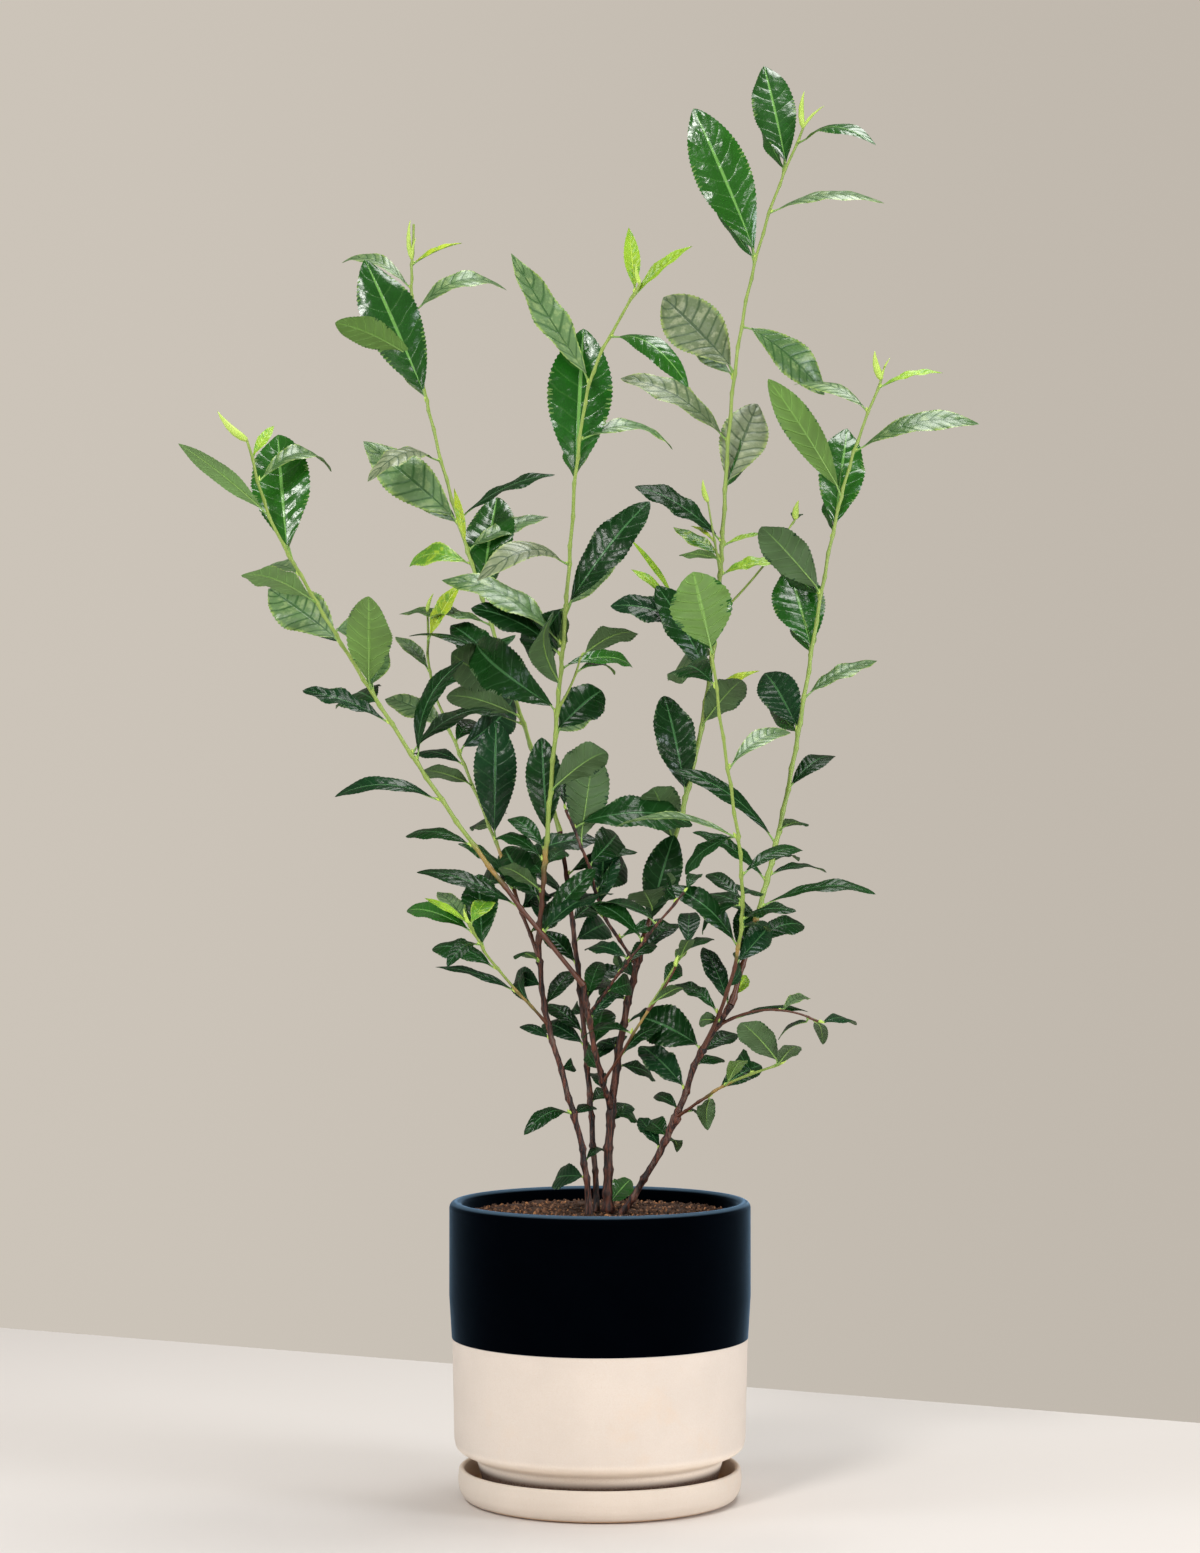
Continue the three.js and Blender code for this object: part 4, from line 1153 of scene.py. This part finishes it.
def solid(name, rings, material, closed=False):
    """Joins each ring of places to the next. A closed solid joins the last to the first, and any other that
    ends in a wide ring has a cap there."""
    mesh = bmesh.new()
    rings = [[mesh.verts.new(place) for place in ring] for ring in rings]
    sides = max(len(ring) for ring in rings)
    for low, high in zip(rings, rings[1:] + rings[:1] if closed else rings[1:]):
        for k in range(sides):
            after = k + 1
            corners = [low[k % len(low)], low[after % len(low)], high[after % len(high)], high[k % len(high)]]
            mesh.faces.new(list(dict.fromkeys(corners)))
    if not closed and len(rings[-1]) > 1:
        mesh.faces.new(list(reversed(rings[-1])))
    bmesh.ops.recalc_face_normals(mesh, faces=mesh.faces)
    data = bpy.data.meshes.new(name)
    mesh.to_mesh(data)
    mesh.free()
    data.materials.append(material)
    data.shade_smooth()
    data.set_sharp_from_angle(angle=math.radians(50))
    return link(name, data)


def rounded(outline, radius, steps=5):
    """An outline of [radius, height] places with its inner corners rounded off."""
    places = [Vector(p) for p in outline]
    result = [places[0]]
    for before, corner, after in zip(places, places[1:], places[2:]):
        back, onward = before - corner, after - corner
        cut = min(radius, back.length * 0.45, onward.length * 0.45)
        start, end = corner + back.normalized() * cut, corner + onward.normalized() * cut
        for i in range(steps + 1):
            s = i / steps
            result.append(start * (1 - s) ** 2 + corner * 2 * s * (1 - s) + end * s * s)
    return [(p.x, p.y) for p in result + [places[-1]]]


def half_round(radius, height, reach, steps):
    """The places over the top of a rounded edge, from its outer side to its inner one."""
    turns = np.linspace(0, math.pi, steps)
    return [(radius + reach * math.cos(a), height + reach * math.sin(a)) for a in turns]


# The pot's own sizes, as shares of its outer radius and of its height.
POT_WALL = 0.078
FOOT_RADIUS = 0.794
FOOT_TAPER = 0.03  # the foot is this much narrower at its underside, and wider at its top
FOOT_RISE = 0.110  # from its underside to where the slanted shoulder starts
SHOULDER = [(0.930, 0.136), (0.958, 0.150), (0.969, 0.178)]
UPPER_WALL = [(0.983, 0.528), (1.0, 0.675)]  # where the glaze begins, and where the wall is at its widest
HOLLOW_RISES = (0.2, 0.15, 0.05)  # where its inside starts to narrow, where it has narrowed, and its floor
POT_ROUNDING = 2.2 * MM
POT_WOBBLE = 0.25 * MM
GLAZE_THICKNESS = 0.35 * MM
GLAZE_BELOW_SOIL = 6 * MM


def pot_outlines():
    """The clay's outline from axis to axis, and the glaze's closed one round the upper wall and the lip."""
    low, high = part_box("pot")
    radius, foot, height = high.x, low.z, high.z - low.z
    wall = POT_WALL * radius
    inner, inner_foot = radius - wall, FOOT_RADIUS * radius - wall
    edge = (radius - wall / 2, high.z - wall / 2)

    def places(*shares):
        return [(share * radius, foot + rise * height) for share, rise in shares]

    narrowing, narrow, floor = (foot + rise * height for rise in HOLLOW_RISES)
    outside = places(*UPPER_WALL)
    base = places((0, 0), (FOOT_RADIUS - FOOT_TAPER, 0), (FOOT_RADIUS + FOOT_TAPER, FOOT_RISE), *SHOULDER)
    hollow = [(inner, narrowing), (inner_foot, narrow), (inner_foot, floor), (0, floor)]
    clay = rounded(base, POT_ROUNDING) + outside + half_round(*edge, wall / 2, 15) + hollow

    thick = GLAZE_THICKNESS  # the lip's two ends stand twice, so that its shading stops at the wall
    outer = half_round(*edge, wall / 2 + thick, 15)
    under = half_round(*edge, wall / 2 - thick, 15)
    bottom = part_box("soil")[1].z - GLAZE_BELOW_SOIL
    (start, start_rise), (widest, widest_rise) = outside
    glaze = [(start - thick, start_rise - 0.2 * MM), (start + thick, start_rise)]
    glaze += [(widest + thick, widest_rise)] + outer[:1] + outer
    glaze += [(inner - thick, bottom), (inner + thick, bottom)] + under[::-1] + under[:1]
    return clay, glaze + [(widest - thick, widest_rise), (start - thick, start_rise + thick)]


# The saucer's outline outside and inside, as shares of its radius and of its height, either side of its rim.
SAUCER_OUTSIDE = [(0, 0), (0.905, 0), (0.957, 0.09), (0.990, 0.32), (1.0, 0.62)]
SAUCER_INSIDE = [(0.941, 0.46), (0.895, 0.31), (0, 0.30)]
SAUCER_RIM = (0.953, 0.993)
SAUCER_ROUNDING = 2.4 * MM
SAUCER_WOBBLE = 0.3 * MM


def saucer_outline():
    _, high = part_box("saucer")
    outside, inside = ([(share * high.x, rise * high.z) for share, rise in side]
                       for side in (SAUCER_OUTSIDE, SAUCER_INSIDE))
    rim_in, rim_out = (share * high.x for share in SAUCER_RIM)
    lip = (rim_out - rim_in) / 2
    rim = half_round(rim_in + lip, high.z - lip, lip, 11)
    return rounded([*outside, rim[0]], SAUCER_ROUNDING)[:-1] + rim + inside


SOIL_RINGS, SOIL_SIDES = 40, 96
SOIL_DEPTH = 14 * MM
SOIL_CLODS = [(1.6, 90, 0), (0.9, 260, 3)]  # how high, in millimetres, and how close together they stand


def soil_rings():
    """The soil's uneven surface, in rings outwards from its middle, and the edge of its underside."""
    _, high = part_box("soil")
    rings = [[(0, 0, high.z)]]
    for i in range(1, SOIL_RINGS + 1):
        ring = []
        for k in range(SOIL_SIDES):
            radius, angle = high.x * i / SOIL_RINGS, k * math.tau / SOIL_SIDES
            x, y = radius * math.cos(angle), radius * math.sin(angle)
            rough = sum(size * noise.noise(Vector((x, y, lift)) * scale) for size, scale, lift in SOIL_CLODS)
            ring.append((x, y, high.z + (rough - 0.9) * MM))
        rings.append(ring)
    return rings + [[(x, y, high.z - SOIL_DEPTH) for x, y, _ in rings[-1]]]


def soil_top():
    """A flat sheet over the soil for strewing crumbs on."""
    _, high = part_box("soil")
    radius, height = high.x - 2 * MM, high.z - 0.6 * MM
    turns = np.arange(64) * math.tau / 64
    mesh = bpy.data.meshes.new("soil_top")
    mesh.from_pydata([(radius * math.cos(a), radius * math.sin(a), height) for a in turns], [], [range(64)])
    return link("soil_top", mesh)


CRUMBS = {  # how many to a square metre, their smallest and largest half size in millimetres, and two colours
    "dark": (70000, (0.8, 0.6, 0.5), (2.2, 1.6, 1.2), (0.024, 0.011, 0.006), (0.105, 0.048, 0.025)),
    "brown": (26000, (0.8, 0.6, 0.4), (2.4, 1.5, 1.0), (0.12, 0.052, 0.026), (0.32, 0.155, 0.080)),
    "rust": (8000, (0.7, 0.5, 0.4), (2.0, 1.1, 0.9), (0.34, 0.13, 0.045), (0.62, 0.30, 0.13)),
}
SOIL_COLOURS = [(0.022, 0.010, 0.006), (0.085, 0.040, 0.022)]
BARE_CLAY = (0.71, 0.62, 0.545)
SAUCER_CLAY = (0.68, 0.585, 0.50)


# ---------------- putting it together

MASSES = {  # the frame's masses of leaves on each limb: what their names share, and the rest of each name
    "branch_left": ("left", "tip upper mid low foot"),
    "shoot_back": ("back", "tip high upper mid low"),
    "shoot_centre": ("centre", "tip high upper mid low foot"),
    "branch_centre_up": ("centre", "up"),
    "shoot_left_inner": ("inner_left", "tip low"),
    "twig_left_low": ("left_low", "twig"),
    "shoot_tall": ("tall", "tip high upper mid low foot base"),
    "shoot_right": ("right", "tip upper mid low foot base"),
    "shoot_right_inner": ("inner_right", "tip mid"),
    "twig_right_low": ("right_low", "twig"),
    "twig_centre": ("centre", "twig"),
    "twig_low_centre": ("low", "centre"),
}
TWIGS_OF = {  # side twigs whose leaves are joined with those of a limb
    "shoot_tall": ("side_bud_left", "side_spray_left", "side_spray_right"),
    "shoot_centre": ("side_spray_centre",),
    "twig_low_centre": ("side_spray_low",),
    "twig_right_low": ("side_spray_right_low",),
}
STEMS = (*ROOTED, "stem_front")
OLD_WOOD = (*STEMS, "branch_centre_up", "twig_centre", "side_stub")  # the limbs in brown bark
SHOOT_GREEN = (0.362, 0.400)  # the heights between which a shoot's bark turns from brown to green
LOW_GREEN = {  # and those of the lower limbs
    "shoot_right": (0.332, 0.356),
    "shoot_right_inner": (0.320, 0.338),
    "twig_left_low": (0.285, 0.315),
    "twig_right_low": (0.235, 0.262),
    "twig_low_centre": (0.27, 0.31),
}
FURROWS = (0.25 * MM, 1.3 * MM)  # depth of green bark's, and of brown bark's
FURROW_GRAIN = 560.0


def settle(piece, slot, *nodes):
    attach(piece, "root")
    if nodes:
        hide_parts(*nodes)


def grow_foliage(limbs):
    materials = leaf_finishes()
    for number, (limb, (shared, parts)) in enumerate(MASSES.items()):
        rng = Random(100 + number)
        foliage, young = Foliage(), Foliage()
        for name in (limb, *TWIGS_OF.get(limb, ())):
            grow_leaves(limbs, name, foliage, young, rng)
        nodes = [f"leaves_{shared}_{part}" for part in parts.split()]
        settle(foliage.piece(f"leaves_on_{limb}", materials), "leaf", *nodes)
        if young.count:
            tips = [n for n in nodes if n.endswith("_tip")] or nodes
            settle(young.piece(f"young_leaves_on_{limb}", materials), "young_leaf", *tips)
    stems = Foliage()
    for number, limb in enumerate(STEMS):
        grow_leaves(limbs, limb, stems, stems, Random(200 + number))
    settle(stems.piece("leaves_on_stems", materials), "leaf")
    buds = Foliage()
    grow_buds(limbs, buds)
    settle(buds.piece("growing_buds", materials), "young_leaf")


def grow_bark(limbs):
    tree = bark_tree()
    brown, green = bark_finish(), green_bark_finish("green_bark", *SHOOT_GREEN)
    greens = {name: green_bark_finish(f"bark_{name}", *heights) for name, heights in LOW_GREEN.items()}
    for name, limb in limbs.items():
        side, fresh = name.startswith("side_"), name not in OLD_WOOD
        path = path_of(f"path_{name}", limb, springs=name not in ROOTED)
        piece = tree.run(path, f"bark_of_{name}", Sides=8 if side else 12, Furrow=FURROWS[0 if fresh else 1],
                         Grain=FURROW_GRAIN, Material=greens.get(name, green) if fresh else brown)
        settle(piece, "green_bark" if fresh else "bark", *([] if side else [name]))


def throw_the_pot():
    low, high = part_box("pot")
    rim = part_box("saucer")[1]
    clay, glaze = pot_outlines()
    shoulder = low.z + FOOT_RISE * (high.z - low.z)
    # painted light and painted shade on the foot, from its shoulder down to the saucer's rim
    bare_clay = clay_finish("bare_clay", BARE_CLAY, foot_light_and_shade=(shoulder, rim.z - 1.5 * MM))
    settle(solid("pot_body", turned(clay, POT_WOBBLE), bare_clay), "glaze", "pot")
    settle(solid("pot_glaze", turned(glaze), glaze_finish(high.z), closed=True), "glaze", "pot")
    saucer_clay = clay_finish("saucer_clay", SAUCER_CLAY, browned_dish=(0.965 * rim.x, rim.z))
    settle(solid("saucer_dish", turned(saucer_outline(), SAUCER_WOBBLE), saucer_clay), "clay", "saucer")


def fill_the_pot():
    settle(solid("soil_bed", soil_rings(), soil_finish("soil_bed", *SOIL_COLOURS)), "soil", "soil")
    strew = strewing_tree()
    for seed, (shade, (density, smallest, largest, *colours)) in enumerate(CRUMBS.items(), 1):
        name = f"soil_crumbs_{shade}"
        crumbs = strew.run(soil_top(), name, Density=float(density), Seed=seed,
                           Smallest=[v * MM for v in smallest], Largest=[v * MM for v in largest],
                           Material=soil_finish(name, *colours))
        settle(crumbs, "soil")


look_from_the_front()
light_the_room()
lay_the_floor()
bush = all_limbs()
grow_foliage(bush)
grow_bark(bush)
throw_the_pot()
fill_the_pot()
